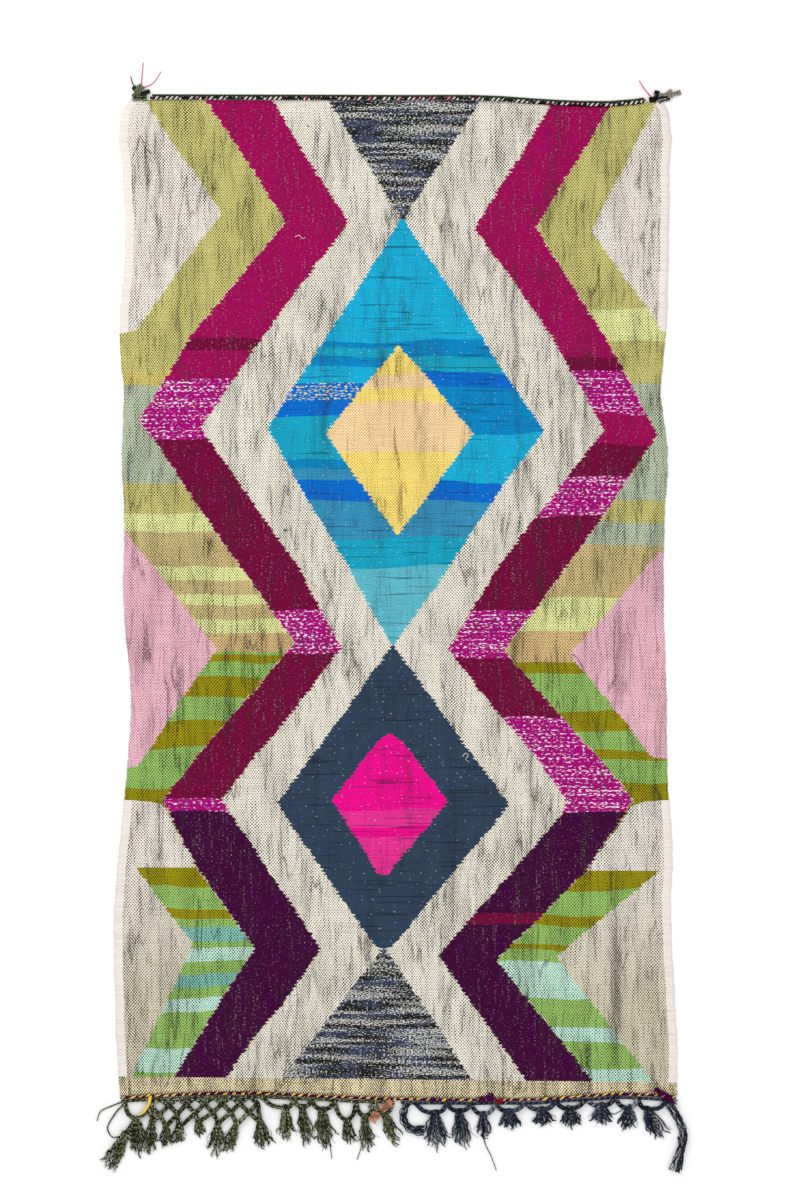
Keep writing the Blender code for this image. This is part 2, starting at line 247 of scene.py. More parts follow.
def make_lamp(name, place, size, power):
    """A square lamp at a place, turned towards the rug's middle."""
    lamp = bpy.data.lights.new(name, "AREA")
    lamp.size = size
    lamp.energy = power
    holder = bpy.data.objects.new(name, lamp)
    holder.location = place
    x, y, z = place
    tilt = math.atan2(math.hypot(x, y), z)
    holder.rotation_euler = (tilt, 0, math.atan2(y, x) + math.pi / 2)
    bpy.context.scene.collection.objects.link(holder)


make_floor()
make_sky()
for row in LAMPS:
    make_lamp(*row)
print("floor", 2 * FLOOR_HALF, "m across, lamps", [row[0] for row in LAMPS])

# %% [markdown]
# The picture looks straight down. A long lens from high up keeps the rug's edges
# parallel, as a camera on a tall stand does.

# %% Camera
VIEW_HEIGHT = 2.94  # how much of the floor the picture spans, top to bottom
CAMERA_UP = 7.0
SENSOR = 36.0  # millimetres
PICTURE_CENTRE = (MIDDLE_X + 0.007, TOP_Y - 1.225)


def make_camera():
    """Focal length = sensor x distance / span: similar triangles on both sides of the lens."""
    lens = bpy.data.cameras.new("catalogue_camera")
    lens.sensor_width = SENSOR
    lens.lens = SENSOR * CAMERA_UP / VIEW_HEIGHT
    lens.clip_end = 100
    camera = bpy.data.objects.new("catalogue_camera", lens)
    camera.location = (*PICTURE_CENTRE, CAMERA_UP)
    bpy.context.scene.collection.objects.link(camera)
    bpy.context.scene.camera = camera
    print("camera", round(lens.lens, 1), "mm at", [round(v, 3) for v in camera.location])


make_camera()

# %% [markdown]
# Two settings keep the rug's own look. The plain Standard view shows the dyes as they are
# charted, where the usual one would dull the pinks. The weave's dots are only a pixel or
# two wide, and the denoiser wipes them out when it first smooths the guide pictures that
# it works from, so that first smoothing is left out.

# %% Colour view and denoiser
scene = bpy.context.scene
scene.view_settings.view_transform = "Standard"
scene.cycles.denoising_prefilter = "NONE"
print("view", scene.view_settings.view_transform, "prefilter", scene.cycles.denoising_prefilter)

# %% [markdown]
# The cloth is one sheet of even thickness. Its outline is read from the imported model, so
# that the sheet can't drift from it, and the small wobble that a loose warp gives the
# selvedges is laid over that. Long creases run the way of the warp, where the wefts pull
# unevenly: each is a soft trough along its own wavy line, fading out at both ends. A cloth
# simulation could find such creases, but it would find others each time.

# %% The outline of the cloth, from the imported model
SIDE_SEARCH = 0.06  # how far in from the model's box its side edges wander
END_SEARCH = 0.022  # the same for its top and bottom edges


def model_outline():
    """Left and right edge as x at y, and top and bottom edge as y at x, from the model's rim."""
    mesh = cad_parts["rug_field"].data
    points = np.zeros(len(mesh.vertices) * 3)
    mesh.vertices.foreach_get("co", points)
    points = points.reshape(-1, 3)
    on_floor = points[:, 2] < 1e-5
    points = np.unique(np.round(points[on_floor], 6), axis=0)

    def chain(chosen, along):
        rim = points[chosen]
        rim = rim[np.argsort(rim[:, along])]
        return rim[:, along], rim[:, 1 - along]

    left = chain(points[:, 0] < cloth_low[0] + SIDE_SEARCH, 1)
    right = chain(points[:, 0] > cloth_high[0] - SIDE_SEARCH, 1)
    top = chain(points[:, 1] > cloth_high[1] - END_SEARCH, 0)
    bottom = chain(points[:, 1] < cloth_low[1] + END_SEARCH, 0)
    return left, right, top, bottom


LEFT_EDGE, RIGHT_EDGE, TOP_EDGE, BOTTOM_EDGE = model_outline()
print("edge points", [len(edge[0]) for edge in (LEFT_EDGE, RIGHT_EDGE, TOP_EDGE, BOTTOM_EDGE)])

# %% Creases and swells
CREASES = 150
CREASE_REACHES = (0.05, 0.24)  # how far a crease runs each way from its middle
CREASE_WIDTHS = (0.0035, 0.0075)
CREASE_SWAYS, CREASE_WAVES = (0.002, 0.009), (0.08, 0.22)
CREASE_LEAN = 0.03
CREASE_STRENGTHS, DEEPEST = (0.35, 1.0), 1.3
SWELLS, SWELL_WAVES = 9, (0.16, 0.5)


def wobble(along, seed, size):
    """A gentle wander: three sines of unlike wavelengths, 2 to 14 cm long."""
    rng = np.random.default_rng(seed)
    total = np.zeros_like(along)
    for wavelength in (0.023, 0.051, 0.137):
        total += np.sin(along * math.tau / wavelength + rng.uniform(0, math.tau))
    return total * size / 3


def crease_field(x, y):
    """Depth of the creases at each point, 0 to about 1.

    A crease is exp(-(distance from its line / width)^2) times a window along its length.
    """
    rng = np.random.default_rng(5)
    depth = np.zeros_like(x)
    for _ in range(CREASES):
        middle_x = rng.uniform(-0.66, 0.66)
        middle_y = rng.uniform(-1.2, 1.2)
        reach = rng.uniform(*CREASE_REACHES)
        width = rng.uniform(*CREASE_WIDTHS)
        sway = rng.uniform(*CREASE_SWAYS)
        wave = rng.uniform(*CREASE_WAVES)
        strength = rng.uniform(*CREASE_STRENGTHS)
        line = middle_x + sway * np.sin((y - middle_y) * math.tau / wave)
        line += rng.uniform(-CREASE_LEAN, CREASE_LEAN) * (y - middle_y)
        across = np.exp(-(((x - line) / width) ** 2))
        along = np.exp(-(((y - middle_y) / reach) ** 4))
        depth += strength * across * along
    return np.minimum(depth, DEEPEST)


def swell_field(x, y):
    """Slow rise and fall of a cloth that doesn't lie quite flat: a few long crossed waves."""
    rng = np.random.default_rng(9)
    total = np.zeros_like(x)
    for _ in range(SWELLS):
        turn = rng.uniform(0, math.tau)
        wave = rng.uniform(*SWELL_WAVES)
        total += np.sin((x * math.cos(turn) + y * math.sin(turn)) * math.tau / wave + turn * 3)
    return total / SWELLS


middle_line = np.linspace(*SELVEDGE_REACH, 400)
creased = float(np.mean(crease_field(middle_line, np.zeros(400)) > 0.2))
print("creased share of a line across the middle", round(creased, 2))


# %% Pieces from whole arrays
def new_piece(name, points, faces, material):
    """A mesh object at the origin from points (n, 3) and a list of faces."""
    mesh = bpy.data.meshes.new(name)
    mesh.from_pydata(points.tolist(), [], faces)
    mesh.validate()
    mesh.shade_smooth()
    mesh.materials.append(material)
    piece = bpy.data.objects.new(name, mesh)
    bpy.context.scene.collection.objects.link(piece)
    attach(piece, "root")
    triangles = sum(len(face) - 2 for face in faces)
    print(name, "has", triangles, "triangles")
    return piece


def give(piece, name, values):
    """Writes one number for each point of a piece, for its material to read."""
    layer = piece.data.attributes.new(name, "FLOAT", "POINT")
    layer.data.foreach_set("value", np.ascontiguousarray(values, dtype=np.float32))


print("pieces ride on the packed model's body, root")

# %% The cloth's two faces
COLUMNS, ROWS = 256, 330
THICKNESS = 0.0040
RIM_WIDTH = 0.010  # half the width of the cord that runs inside each selvedge
EDGE_WOBBLE = 0.0016
CREASE_DEPTH, SWELL_HEIGHT, WELT_HEIGHT = 0.0016, 0.0006, 0.0008
CREASE_FREE = 0.03  # the creases fade out towards the selvedges over this width
END_TAPER = 0.006


def cloth_surface(u, v):
    """Upper face of the cloth. u runs from the left selvedge to the right, v from top to bottom.

    x = left + (right - left) u and y = top + (bottom - top) v, with every edge from the
    model; z = thickness, less the creases, with a rounded rim.
    """
    y_guess = cloth_high[1] + (cloth_low[1] - cloth_high[1]) * v
    left = np.interp(y_guess, *LEFT_EDGE) + wobble(y_guess, 1, EDGE_WOBBLE)
    right = np.interp(y_guess, *RIGHT_EDGE) + wobble(y_guess, 2, EDGE_WOBBLE)
    x = left + (right - left) * u
    top = np.interp(x, *TOP_EDGE)
    bottom = np.interp(x, *BOTTOM_EDGE)
    y = top + (bottom - top) * v
    rim = np.minimum(u, 1 - u) * (right - left)
    crease = crease_field(x, y) * np.clip(rim / CREASE_FREE, 0, 1)
    roll = np.sqrt(np.clip(1 - (1 - np.clip(rim / RIM_WIDTH, 0, 1)) ** 2, 0, 1))
    welt = WELT_HEIGHT * np.exp(-(((rim - RIM_WIDTH) / (0.7 * RIM_WIDTH)) ** 2))
    ends = np.clip(np.minimum(v, 1 - v) * LENGTH / END_TAPER, 0, 1)
    # Rolled down to 0.45 of the thickness at the selvedges, and pressed to 0.6 of it at the ends
    z = THICKNESS * (0.45 + 0.55 * roll) * (0.6 + 0.4 * ends)
    z += welt + SWELL_HEIGHT * swell_field(x, y) - CREASE_DEPTH * crease * ends
    return np.stack((x, y, z), axis=-1), crease, rim


def make_cloth(material):
    """The sheet: a fine upper face over a flat lower face, closed at the rim.

    The lower face is one flat strip for each row of the grid, from selvedge to selvedge.
    """
    v, u = np.meshgrid(np.linspace(0, 1, ROWS + 1), np.linspace(0, 1, COLUMNS + 1), indexing="ij")
    upper, crease, rim = cloth_surface(u, v)
    index = np.arange(u.size).reshape(u.shape)
    quads = np.stack((index[:-1, :-1], index[1:, :-1], index[1:, 1:], index[:-1, 1:]), axis=-1)
    faces = quads.reshape(-1, 4).tolist()
    edge = np.concatenate((index[0, :], index[1:, -1], index[-1, -2::-1], index[-2:0:-1, 0]))
    flat = upper.reshape(-1, 3)[edge]
    flat[:, 2] = 0.0
    under = np.arange(len(edge)) + u.size
    side = np.stack((edge, np.roll(edge, -1), np.roll(under, -1), under), axis=-1)
    faces += side.tolist()
    place = {int(top): int(low) for top, low in zip(edge, under)}
    rows = index.shape[0]
    for i in range(rows - 1):
        first = [place[int(k)] for k in (index[i, :] if i == 0 else index[i, [0, -1]])]
        last = [place[int(k)] for k in (index[i + 1, :] if i == rows - 2 else index[i + 1, [0, -1]])]
        faces.append(first + last[::-1])
    points = np.concatenate((upper.reshape(-1, 3), flat))
    cloth = new_piece("woven_cloth", points, faces, material)
    give(cloth, "crease", np.concatenate((crease.ravel(), np.zeros(len(edge)))))
    give(cloth, "rim", np.concatenate((rim.ravel(), np.zeros(len(edge)))))
    return cloth


half_way = cloth_surface(np.array((0.0, 1.0)), np.array((0.5, 0.5)))[0]
print("the cloth is", round(float(half_way[1, 0] - half_way[0, 0]), 3), "m wide half way down")

# %% [markdown]
# The pattern is charted as a weaver would: how far down the rug, and how far from the
# middle line, in centimetres, each zigzag edge turns, and where each stripe of a band
# ends. The lozenges aren't drawn at all, but are what the zigzags leave between them. A
# photograph of the rug laid on the cloth would be quicker, but it would bring its own
# light and blur along, and nothing in it could be changed.

# %% The zigzag edges: (centimetres down, centimetres from the middle line) at each turn
CHART_LENGTH = 250.0
CHART_WIDTH = 160.0
FAR_LEFT, FAR_RIGHT = -76.0, 76.0

LEFT_OUTER = (
    (0, -61.8), (27.9, -42.9), (57.1, -64.6), (58.1, FAR_LEFT), (104.5, FAR_LEFT), (105.4, -66.8),
    (134.5, -44.3), (163.4, -63.7), (165.0, FAR_LEFT), (171.0, FAR_LEFT), (172.0, -57.8), (188.4, -48.9),
)
LEFT_BAND = (
    (0, -47.0), (29.9, -27.4), (58.1, -50.7), (78.4, -63.0), (115.2, -38.2), (132.8, -25.2),
    (171.5, -57.6), (187.9, -49.2), (208.0, -34.8), (240.0, -55.4),
)
LEFT_CREAM = (
    (0, -30.8), (29.9, -12.0), (58.1, -32.8), (80.4, -48.0), (115.2, -23.8), (134.0, -13.2),
    (171.5, -43.1), (208.0, -18.4), (240.0, -42.2),
)
LEFT_HEART = (
    (0, -16.6), (29.2, 1.2), (80.4, -31.9), (133.5, -1.2), (172.2, -29.4), (207.6, -5.4),
    (207.9, -3.4), (240.0, -28.5),
)
RIGHT_HEART = (
    (0, 20.6), (29.2, 1.6), (80.9, 35.8), (133.5, -0.8), (172.5, 27.2), (207.6, -1.4),
    (207.9, -3.0), (240.6, 18.8),
)
RIGHT_CREAM = (
    (0, 38.3), (31.6, 18.9), (58.1, 38.0), (80.9, 50.0), (115.2, 24.3), (134.5, 12.3),
    (171.5, 41.9), (174.0, 41.2), (209.7, 9.8), (241.0, 32.4),
)
RIGHT_BAND = (
    (0, 53.0), (31.4, 34.1), (58.1, 51.2), (82.1, 63.7), (114.9, 41.4), (134.8, 26.2),
    (171.5, 58.1), (188.7, 46.8), (210.7, 24.3), (241.0, 48.5),
)
RIGHT_OUTER = (
    (0, 63.8), (32.3, 47.8), (57.3, 65.6), (58.3, FAR_RIGHT), (107.5, FAR_RIGHT), (108.4, 66.8),
    (135.7, 42.4), (161.2, 62.5), (161.9, FAR_RIGHT), (171.0, FAR_RIGHT), (172.0, 58.4), (189.0, 46.6),
)
LEFT_CHEVRON = ((187.0, -64.4), (206.8, -50.0), (240.0, -65.4))
RIGHT_CHEVRON = ((187.0, 66.0), (210.0, 39.2), (241.0, 63.0))
# The two stones in the middle: above and below each one its edges change sides, so nothing shows
STONE_LEFT = (
    (0, 6.0), (58.0, 6.0), (59.8, 0.2), (81.8, -17.4), (106.6, 0.0), (108.0, 6.0), (153.6, 6.0),
    (155.3, -2.2), (156.8, -4.8), (171.5, -16.2), (182.0, -9.2), (189.6, -4.8), (191.5, 6.0),
)
STONE_RIGHT = (
    (0, -6.0), (58.0, -6.0), (59.8, 0.2), (81.8, 18.9), (106.6, 0.0), (108.0, -6.0), (153.6, -6.0),
    (155.3, -1.4), (156.8, 1.2), (171.7, 12.5), (181.0, 4.6), (189.6, -2.2), (191.5, -6.0),
)
CHEVRON_TOP = (188.0, 188.8)  # left and right flat tops of the lower chevrons
END_BAND_TOP, END_BAND_SLOPE = 239.9, 1.06  # centimetres down, and down for each metre to the right
EDGES = (LEFT_OUTER, LEFT_BAND, LEFT_CREAM, LEFT_HEART, RIGHT_HEART, RIGHT_CREAM, RIGHT_BAND, RIGHT_OUTER)
print("edges across the rug", len(EDGES), "with", sum(len(edge) for edge in EDGES), "turns")

# %% The weft's colours
CREAM = paint(246, 238, 227)
LOW_CREAM = paint(224, 215, 188)
INNER_CREAM = paint(245, 239, 223)
PINK_LILAC = paint(246, 192, 206)
SELVEDGE = paint(240, 231, 223)
OLIVE, LIME, SAGE = paint(210, 202, 124), paint(236, 240, 164), paint(192, 204, 174)
KHAKI, TAN, STRAW = paint(214, 192, 134), paint(220, 190, 134), paint(222, 206, 116)
MUSTARD, GREEN = paint(162, 150, 10), paint(156, 200, 106)
TEAL, AQUA = paint(134, 200, 182), paint(200, 240, 220)
MAGENTA, MAROON = paint(160, 0, 86), paint(116, 0, 58)
DASHED, PURPLE = paint(170, 0, 122), paint(64, 0, 58)
CYAN, TURQUOISE, PALE_CYAN = paint(20, 182, 226), paint(20, 172, 206), paint(98, 196, 212)
ROYAL, MID_BLUE, STEEL = paint(0, 112, 214), paint(0, 142, 206), paint(54, 150, 194)
YELLOW, PEACH = paint(255, 226, 122), paint(252, 218, 164)
NAVY, HOT_PINK, PALE_PINK = paint(50, 70, 94), paint(255, 0, 150), paint(248, 52, 156)
END_BAND = paint(255, 238, 196)

# Stripes down each band: where it ends in centimetres, its colour, and 1 if white dashes cross it
LEFT_GREENS = (
    (66.2, OLIVE), (69.8, STRAW), (93.6, SAGE), (101.2, OLIVE), (105.6, LIME), (113.7, KHAKI),
    (117.1, LIME), (120.5, KHAKI), (123.2, LIME), (126.7, KHAKI), (130.3, LIME), (135.0, TAN),
    (135.6, GREEN), (137.4, MUSTARD), (141.1, GREEN), (146.3, MUSTARD), (152.1, GREEN),
    (158.8, MUSTARD), (168.3, GREEN), (187.0, MUSTARD), (192.6, MUSTARD), (198.0, GREEN),
    (200.2, MUSTARD), (202.4, GREEN), (205.8, TEAL), (207.5, GREEN), (210.7, AQUA), (213.9, GREEN),
    (217.3, TEAL), (219.8, GREEN), (223.0, AQUA), (231.8, GREEN), (237.7, AQUA), (250.0, GREEN),
)
RIGHT_GREENS = (
    (51.0, OLIVE), (58.8, LIME), (69.1, OLIVE), (98.0, SAGE), (103.4, OLIVE), (109.0, SAGE),
    (121.5, KHAKI), (129.9, LIME), (137.4, TAN), (140.1, MUSTARD), (149.5, GREEN), (154.8, MUSTARD),
    (159.3, GREEN), (161.7, MUSTARD), (167.1, GREEN), (187.0, MUSTARD), (193.1, MUSTARD),
    (199.4, GREEN), (201.9, MUSTARD), (206.5, GREEN), (207.8, MUSTARD), (210.7, GREEN),
    (219.8, AQUA), (226.9, GREEN), (230.5, AQUA), (237.2, GREEN), (250.0, AQUA),
)
LEFT_MAGENTAS = (
    (58.3, MAGENTA), (61.3, MAROON), (68.1, MAGENTA), (82.8, DASHED, 1), (125.0, MAROON),
    (135.5, DASHED, 1), (171.0, MAROON), (174.0, DASHED, 1), (250.0, PURPLE),
)
RIGHT_MAGENTAS = (
    (63.0, MAGENTA), (66.4, MAROON), (76.9, DASHED, 1), (84.8, MAGENTA), (92.6, MAROON),
    (101.9, DASHED, 1), (124.7, MAROON), (136.7, DASHED, 1), (150.9, MAROON), (174.0, DASHED, 1),
    (198.9, PURPLE), (201.6, MAROON), (250.0, PURPLE),
)
LEFT_BLUES = (
    (58.8, CYAN), (60.0, MID_BLUE), (62.2, TURQUOISE), (64.9, MID_BLUE), (69.3, CYAN),
    (73.4, ROYAL, 1), (77.2, ROYAL), (88.2, TURQUOISE), (90.2, MID_BLUE), (93.1, STEEL),
    (98.0, ROYAL), (107.4, STEEL), (114.4, TURQUOISE), (133.6, PALE_CYAN), (250.0, NAVY),
)
RIGHT_BLUES = (
    (58.8, CYAN), (63.0, MID_BLUE), (66.6, TURQUOISE), (70.1, ROYAL), (81.6, MID_BLUE),
    (93.1, CYAN), (98.0, ROYAL), (107.4, STEEL), (114.4, TURQUOISE), (133.6, PALE_CYAN), (250.0, NAVY),
)
STONES = (
    (67.1, YELLOW), (70.6, PEACH), (74.0, YELLOW), (86.5, PEACH), (130.0, YELLOW),
    (173.6, HOT_PINK), (177.8, PALE_PINK), (180.2, HOT_PINK), (250.0, PALE_PINK),
)
OUTERS = ((101.0, CREAM), (167.0, PINK_LILAC), (250.0, CREAM))
BANDS = (LEFT_GREENS, RIGHT_GREENS, LEFT_MAGENTAS, RIGHT_MAGENTAS, LEFT_BLUES, RIGHT_BLUES, STONES)
print("stripes charted", [len(band) for band in BANDS])

# %% [markdown]
# Now the chart becomes nodes. A Float Curve gives where an edge lies at each height,
# because between its turns an edge runs straight, and a colour ramp that jumps gives the
# stripes of a band.

# %% Edges and stripes as nodes
def zigzag(down_cm, corners):
    """Distance from the middle line, in metres, of an edge of the chart."""
    ends = [(0.0, corners[0][1])] + [c for c in corners if c[0] > 0] + [(CHART_LENGTH, corners[-1][1])]
    shares = [(down / CHART_LENGTH, across / CHART_WIDTH + 0.5) for down, across in ends]
    share = down_cm.node("FloatCurve", {"corners": shares}, {"Value": down_cm / CHART_LENGTH})
    return (share - 0.5) * (CHART_WIDTH * CM)


def stripes(down_cm, table, parts=3):
    """A band's colour, and its mask of 1 where white dashes cross it, by the height.

    The renderer reads a ramp in 256 steps, so each ramp holds only a part of the length.
    """
    span = CHART_LENGTH / parts
    colour, dash = None, None
    for part in range(parts):
        low, high = span * part, span * (part + 1)
        stops = []
        start = 0.0
        for row in table:
            end, shade = row[0], row[1]
            if end > low and start < high:
                fleck = 1.0 if len(row) > 2 else 0.0
                stops.append((max(0.0, (start - low) / span), (*shade[:3], fleck)))
            start = end
        share = (down_cm - low) / span
        ramp = share.node("ValToRGB", {"stops": stops}, {"Fac": share})
        if colour is None:
            colour, dash = ramp, ramp.also("Alpha")
        else:
            past = down_cm > low
            colour = mix(past, colour, ramp)
            dash = dash * (1 - past) + ramp.also("Alpha") * past
    return colour, dash


print("a step of a ramp is", round(CHART_LENGTH / 3 / 256, 2), "cm of the rug")

# %% [markdown]
# A weft-faced weave can only change colour between two warps, so each edge gets small
# teeth, and both edges and stripes wander a little where the weft was beaten unevenly. The
# teeth could be corners in the chart, but there would be hundreds; a triangle wave down
# the rug, with a random step for each tooth, gives them all.

# %% Teeth and wander
TOOTH = 0.0093  # a tooth's height along the warp
TOOTH_DEPTH = 0.0050
TOOTH_CHANCE, EDGE_DRIFT = 0.004, 0.014  # how far teeth differ, and how far an edge wanders
STRIPE_DRIFT, STRIPE_RAGGED = 2.4, 0.5  # the same for a stripe, in centimetres


def edge_shift(place, down):
    """How far an edge is pushed outwards at each point, and a stripe downwards in centimetres."""
    drift = stretched(place, 5.0, 3.0, 1) - 0.5
    ragged = stretched(place, 20.0, 190.0, 2) - 0.5
    row = (down / TOOTH).math("FLOOR")
    chance = row.node("TexWhiteNoise", {"noise_dimensions": "1D"}, {"W": row})
    tooth = ((down / TOOTH).math("FRACT") - 0.5).math("ABSOLUTE") * 2 - 0.5
    shift = tooth * TOOTH_DEPTH + (chance - 0.5) * TOOTH_CHANCE + (drift + ragged) * EDGE_DRIFT
    return shift, drift * STRIPE_DRIFT + ragged * STRIPE_RAGGED


print("teeth of", round(TOOTH / MM, 1), "mm, about", round(LENGTH / TOOTH), "down each edge")

# %% [markdown]
# Which side of each edge a point lies on picks its colour, from the left selvedge to the
# right: outer field, green band, magenta band, cream, heart, and out again. The same
# sides, multiplied, are the masks that tell the later finishes where to lie. Along parts
# of the edges runs a pale thread.

# %% The chart's colours and masks
SEAM = 0.0018  # half the width of the pale threads between two colours
PALE_SEAM = paint(238, 228, 190)
MELANGE_ABOVE, MELANGE_BELOW = 29.2, 207.8  # the half lozenges at both ends
STONE_CHANGE = 130  # the yellow stone lies above it, the pink one below
LOW_CREAM_FROM, LOW_CREAM_FULL = 186, 220  # the outer field yellows between these heights


def weave_chart(place, x, down):
    """The chart's colour at each point, with the masks that its finishes need.

    x is counted from the middle line and down from the top edge, both in metres.
    """
    shift, stripe_shift = edge_shift(place, down)
    across = x + shift
    down_cm = down / CM
    wavy = down_cm + stripe_shift

    def beyond(corners, flip=1):
        return (across if flip > 0 else x - shift) - zigzag(down_cm, corners)

    def past(corners, flip=1):
        return beyond(corners, flip) > 0

    seams = [beyond(LEFT_BAND), beyond(LEFT_CREAM), beyond(RIGHT_CREAM, -1), beyond(RIGHT_BAND, -1)]

    outers, _ = stripes(down_cm, OUTERS, 1)
    outers = mix(down_cm.ramp(LOW_CREAM_FROM, LOW_CREAM_FULL), outers, LOW_CREAM)
    greens_left, _ = stripes(wavy, LEFT_GREENS)
    greens_right, _ = stripes(wavy, RIGHT_GREENS)
    magentas_left, dash_left = stripes(wavy, LEFT_MAGENTAS)
    magentas_right, dash_right = stripes(wavy, RIGHT_MAGENTAS)
    blues_left, dash_blue = stripes(wavy, LEFT_BLUES)
    blues_right, _ = stripes(wavy, RIGHT_BLUES)
    stones, _ = stripes(wavy, STONES)

    right_half = across > 0
    heart = mix(right_half, blues_left, blues_right)
    in_stone = past(STONE_LEFT) * (1 - past(STONE_RIGHT, -1))
    heart = mix(in_stone, heart, stones)
    melange = (down_cm < MELANGE_ABOVE) + (down_cm > MELANGE_BELOW)

    after = down_cm > CHEVRON_TOP[0]
    inside_left = past(LEFT_OUTER) * (1 - after) + past(LEFT_CHEVRON) * after
    after_right = down_cm > CHEVRON_TOP[1]
    outside_right = past(RIGHT_OUTER, -1) * (1 - after_right) + past(RIGHT_CHEVRON, -1) * after_right
    band_left, cream_left, cream_right, band_right = [distance > 0 for distance in seams]
    heart_left, heart_right = past(LEFT_HEART), past(RIGHT_HEART, -1)

    colour = mix(inside_left, outers, greens_left)
    colour = mix(band_left, colour, magentas_left)
    colour = mix(cream_left, colour, INNER_CREAM)
    colour = mix(heart_left, colour, heart)
    colour = mix(heart_right, colour, INNER_CREAM)
    colour = mix(cream_right, colour, magentas_right)
    colour = mix(band_right, colour, greens_right)
    colour = mix(outside_right, colour, outers)

    pale_teeth = stretched(place, 12.0, 70.0, 18, 1.0).ramp(0.45, 0.6)
    nearest = seams[0].math("ABSOLUTE")
    for distance in seams[1:]:
        nearest = nearest.math("MINIMUM", distance.math("ABSOLUTE"))
    colour = mix((nearest < SEAM) * pale_teeth * 0.8, colour, PALE_SEAM)

    end_band = (down_cm - x * END_BAND_SLOPE) > END_BAND_TOP
    colour = mix(end_band, colour, END_BAND)
    dash = band_left * (1 - cream_left) * dash_left + cream_right * (1 - band_right) * dash_right
    in_heart = heart_left * (1 - heart_right)
    vivid = band_left * (1 - cream_left) + cream_right * (1 - band_right)
    yellow_stone = in_stone * (down_cm < STONE_CHANGE)
    masks = {
        "dash": dash * (1 - end_band),
        "blue_dash": in_heart * dash_blue * (1 - in_stone) * (1 - right_half),
        "melange": in_heart * melange * (1 - end_band),
        "heart": in_heart * (1 - end_band) * (1 - yellow_stone),
        "stone": in_heart * yellow_stone,
        "vivid": vivid * (1 - end_band),
        "outer": (1 - inside_left) + outside_right,
        "end": end_band,
    }
    return colour, masks


print("the yellow stone ends", STONE_CHANGE, "cm down, and the lower melange starts at", MELANGE_BELOW)

# %% [markdown]
# Dark warp peeps out between the wefts as staggered dots, more in some places than in
# others. Dots could be modelled thread by thread, but there are over a hundred thousand
# of them, so the material draws them. The product of two sine waves has its peaks
# staggered just as a plain weave has, and a dot shows where that product is above a
# threshold. The threshold falls in loose patches, along slack warps and in creases, and
# rises where the bright weft is packed tight. Where two warps have parted there is a crack.

# %% Warp dots and cracks
WARP_PITCH, WEFT_PITCH = 0.0065, 0.0080
WARP_WANDER, WEFT_WANDER = 0.020, 0.004
LOOSE, TIGHT = 0.04, 0.38  # the threshold in loose and in tight patches of the weave
DOT_EDGE = 0.22  # how softly a dot ends


def cracks(place, speck):
    """Dark lines along the warp: thin bands round the middle of a soft noise, broken by two more."""
    ways = stretched(place, 24.0, 2.8, 4, 2.0)
    line = 1 - ((ways - 0.5).math("ABSOLUTE") * 34).ramp(0, 1)
    return line * stretched(place, 11.0, 9.0, 14).ramp(0.48, 0.62) * speck.ramp(0.25, 0.5)


def slack_warps(warp, down):
    """Mask of warps that hang loose along parts of their length, half a pitch wide each."""
    column = (warp * 2).math("FLOOR")
    seat = column.node("CombineXYZ", inputs={0: column * 7.3, 1: down * 9.0})
    grain = {"Vector": seat, "Scale": 1.0, "Detail": 1.0}
    return seat.node("TexNoise", {"noise_dimensions": "2D"}, grain).ramp(0.60, 0.68)


def warp_dots(place, x, down, masks, speck, crack, crease):
    """The dots, 0 to 1, with the lattice sin(across) sin(down) and the slack warps under them."""
    wander = stretched(place, 10.0, 6.0, 13) - 0.5
    warp = (x + wander * WARP_WANDER) / WARP_PITCH
    weft = (down + wander * WEFT_WANDER) * (math.tau / WEFT_PITCH)
    lattice = (warp * math.tau).math("SINE") * weft.math("SINE")
    slack = slack_warps(warp, down)
    patches = stretched(place, 22.0, 6.0, 3, 2.0).ramp(0.34, 0.66, TIGHT, LOOSE)
    tight = masks["vivid"] * 0.40 + masks["stone"] * 0.08 - masks["end"] * 0.25
    threshold = patches + tight - slack * 0.36 - crack * 0.25 - crease * 0.3
    dots = (lattice + (speck - 0.5) - threshold).ramp(0.0, DOT_EDGE)
    return dots, lattice, slack


print("places for a dot", round(2 * WIDTH * LENGTH / WARP_PITCH / WEFT_PITCH))

# %% [markdown]
# Some rows are spun or woven from two yarns. White dashes cross parts of the magenta
# bands, gold ones one blue stripe, and the half lozenges at both ends are a melange of
# black, navy and white. Each is a noise, stretched along the weft, that is cut off at a
# limit; where the limit changes slowly, the dashes gather and thin out as they do in
# hand weaving. The two large lozenges are rubbed and lined here and there.

# %% Dashes, melange and wear
DASH_PITCH = 0.0100  # the dashes fall in rows this far apart
DASH_WHITE, DASH_GOLD, LOOSE_FIBRE = paint(252, 226, 240), paint(226, 226, 140), paint(190, 150, 165)
WOOL_BLACK, WOOL_NAVY, WOOL_GREY = paint(30, 30, 30), paint(52, 58, 84), paint(206, 206, 200)
WORN_PALE, WORN_LINE, KNOT_DARK = paint(196, 206, 214), paint(16, 24, 34), paint(46, 42, 38)


def dashed(place, down, colour, masks, slack, bands, grit):
    """Colour with white and gold dashes in rows, and paler fibres among the bright weft."""
    rows = (down * (math.tau / DASH_PITCH)).math("SINE") * 0.07
    flecks = stretched(place, 110.0, 330.0, 7) + rows
    white = (flecks > bands.ramp(0.35, 0.65, 0.72, 0.60)) * masks["dash"]
    colour = mix(white, colour, DASH_WHITE)
    gold = (flecks > 0.61) * masks["blue_dash"]
    colour = mix(gold * 0.9, colour, DASH_GOLD)
    fibres = (grit > 0.76 - slack * 0.11) * masks["vivid"]
    return mix(fibres * 0.55, colour, LOOSE_FIBRE)


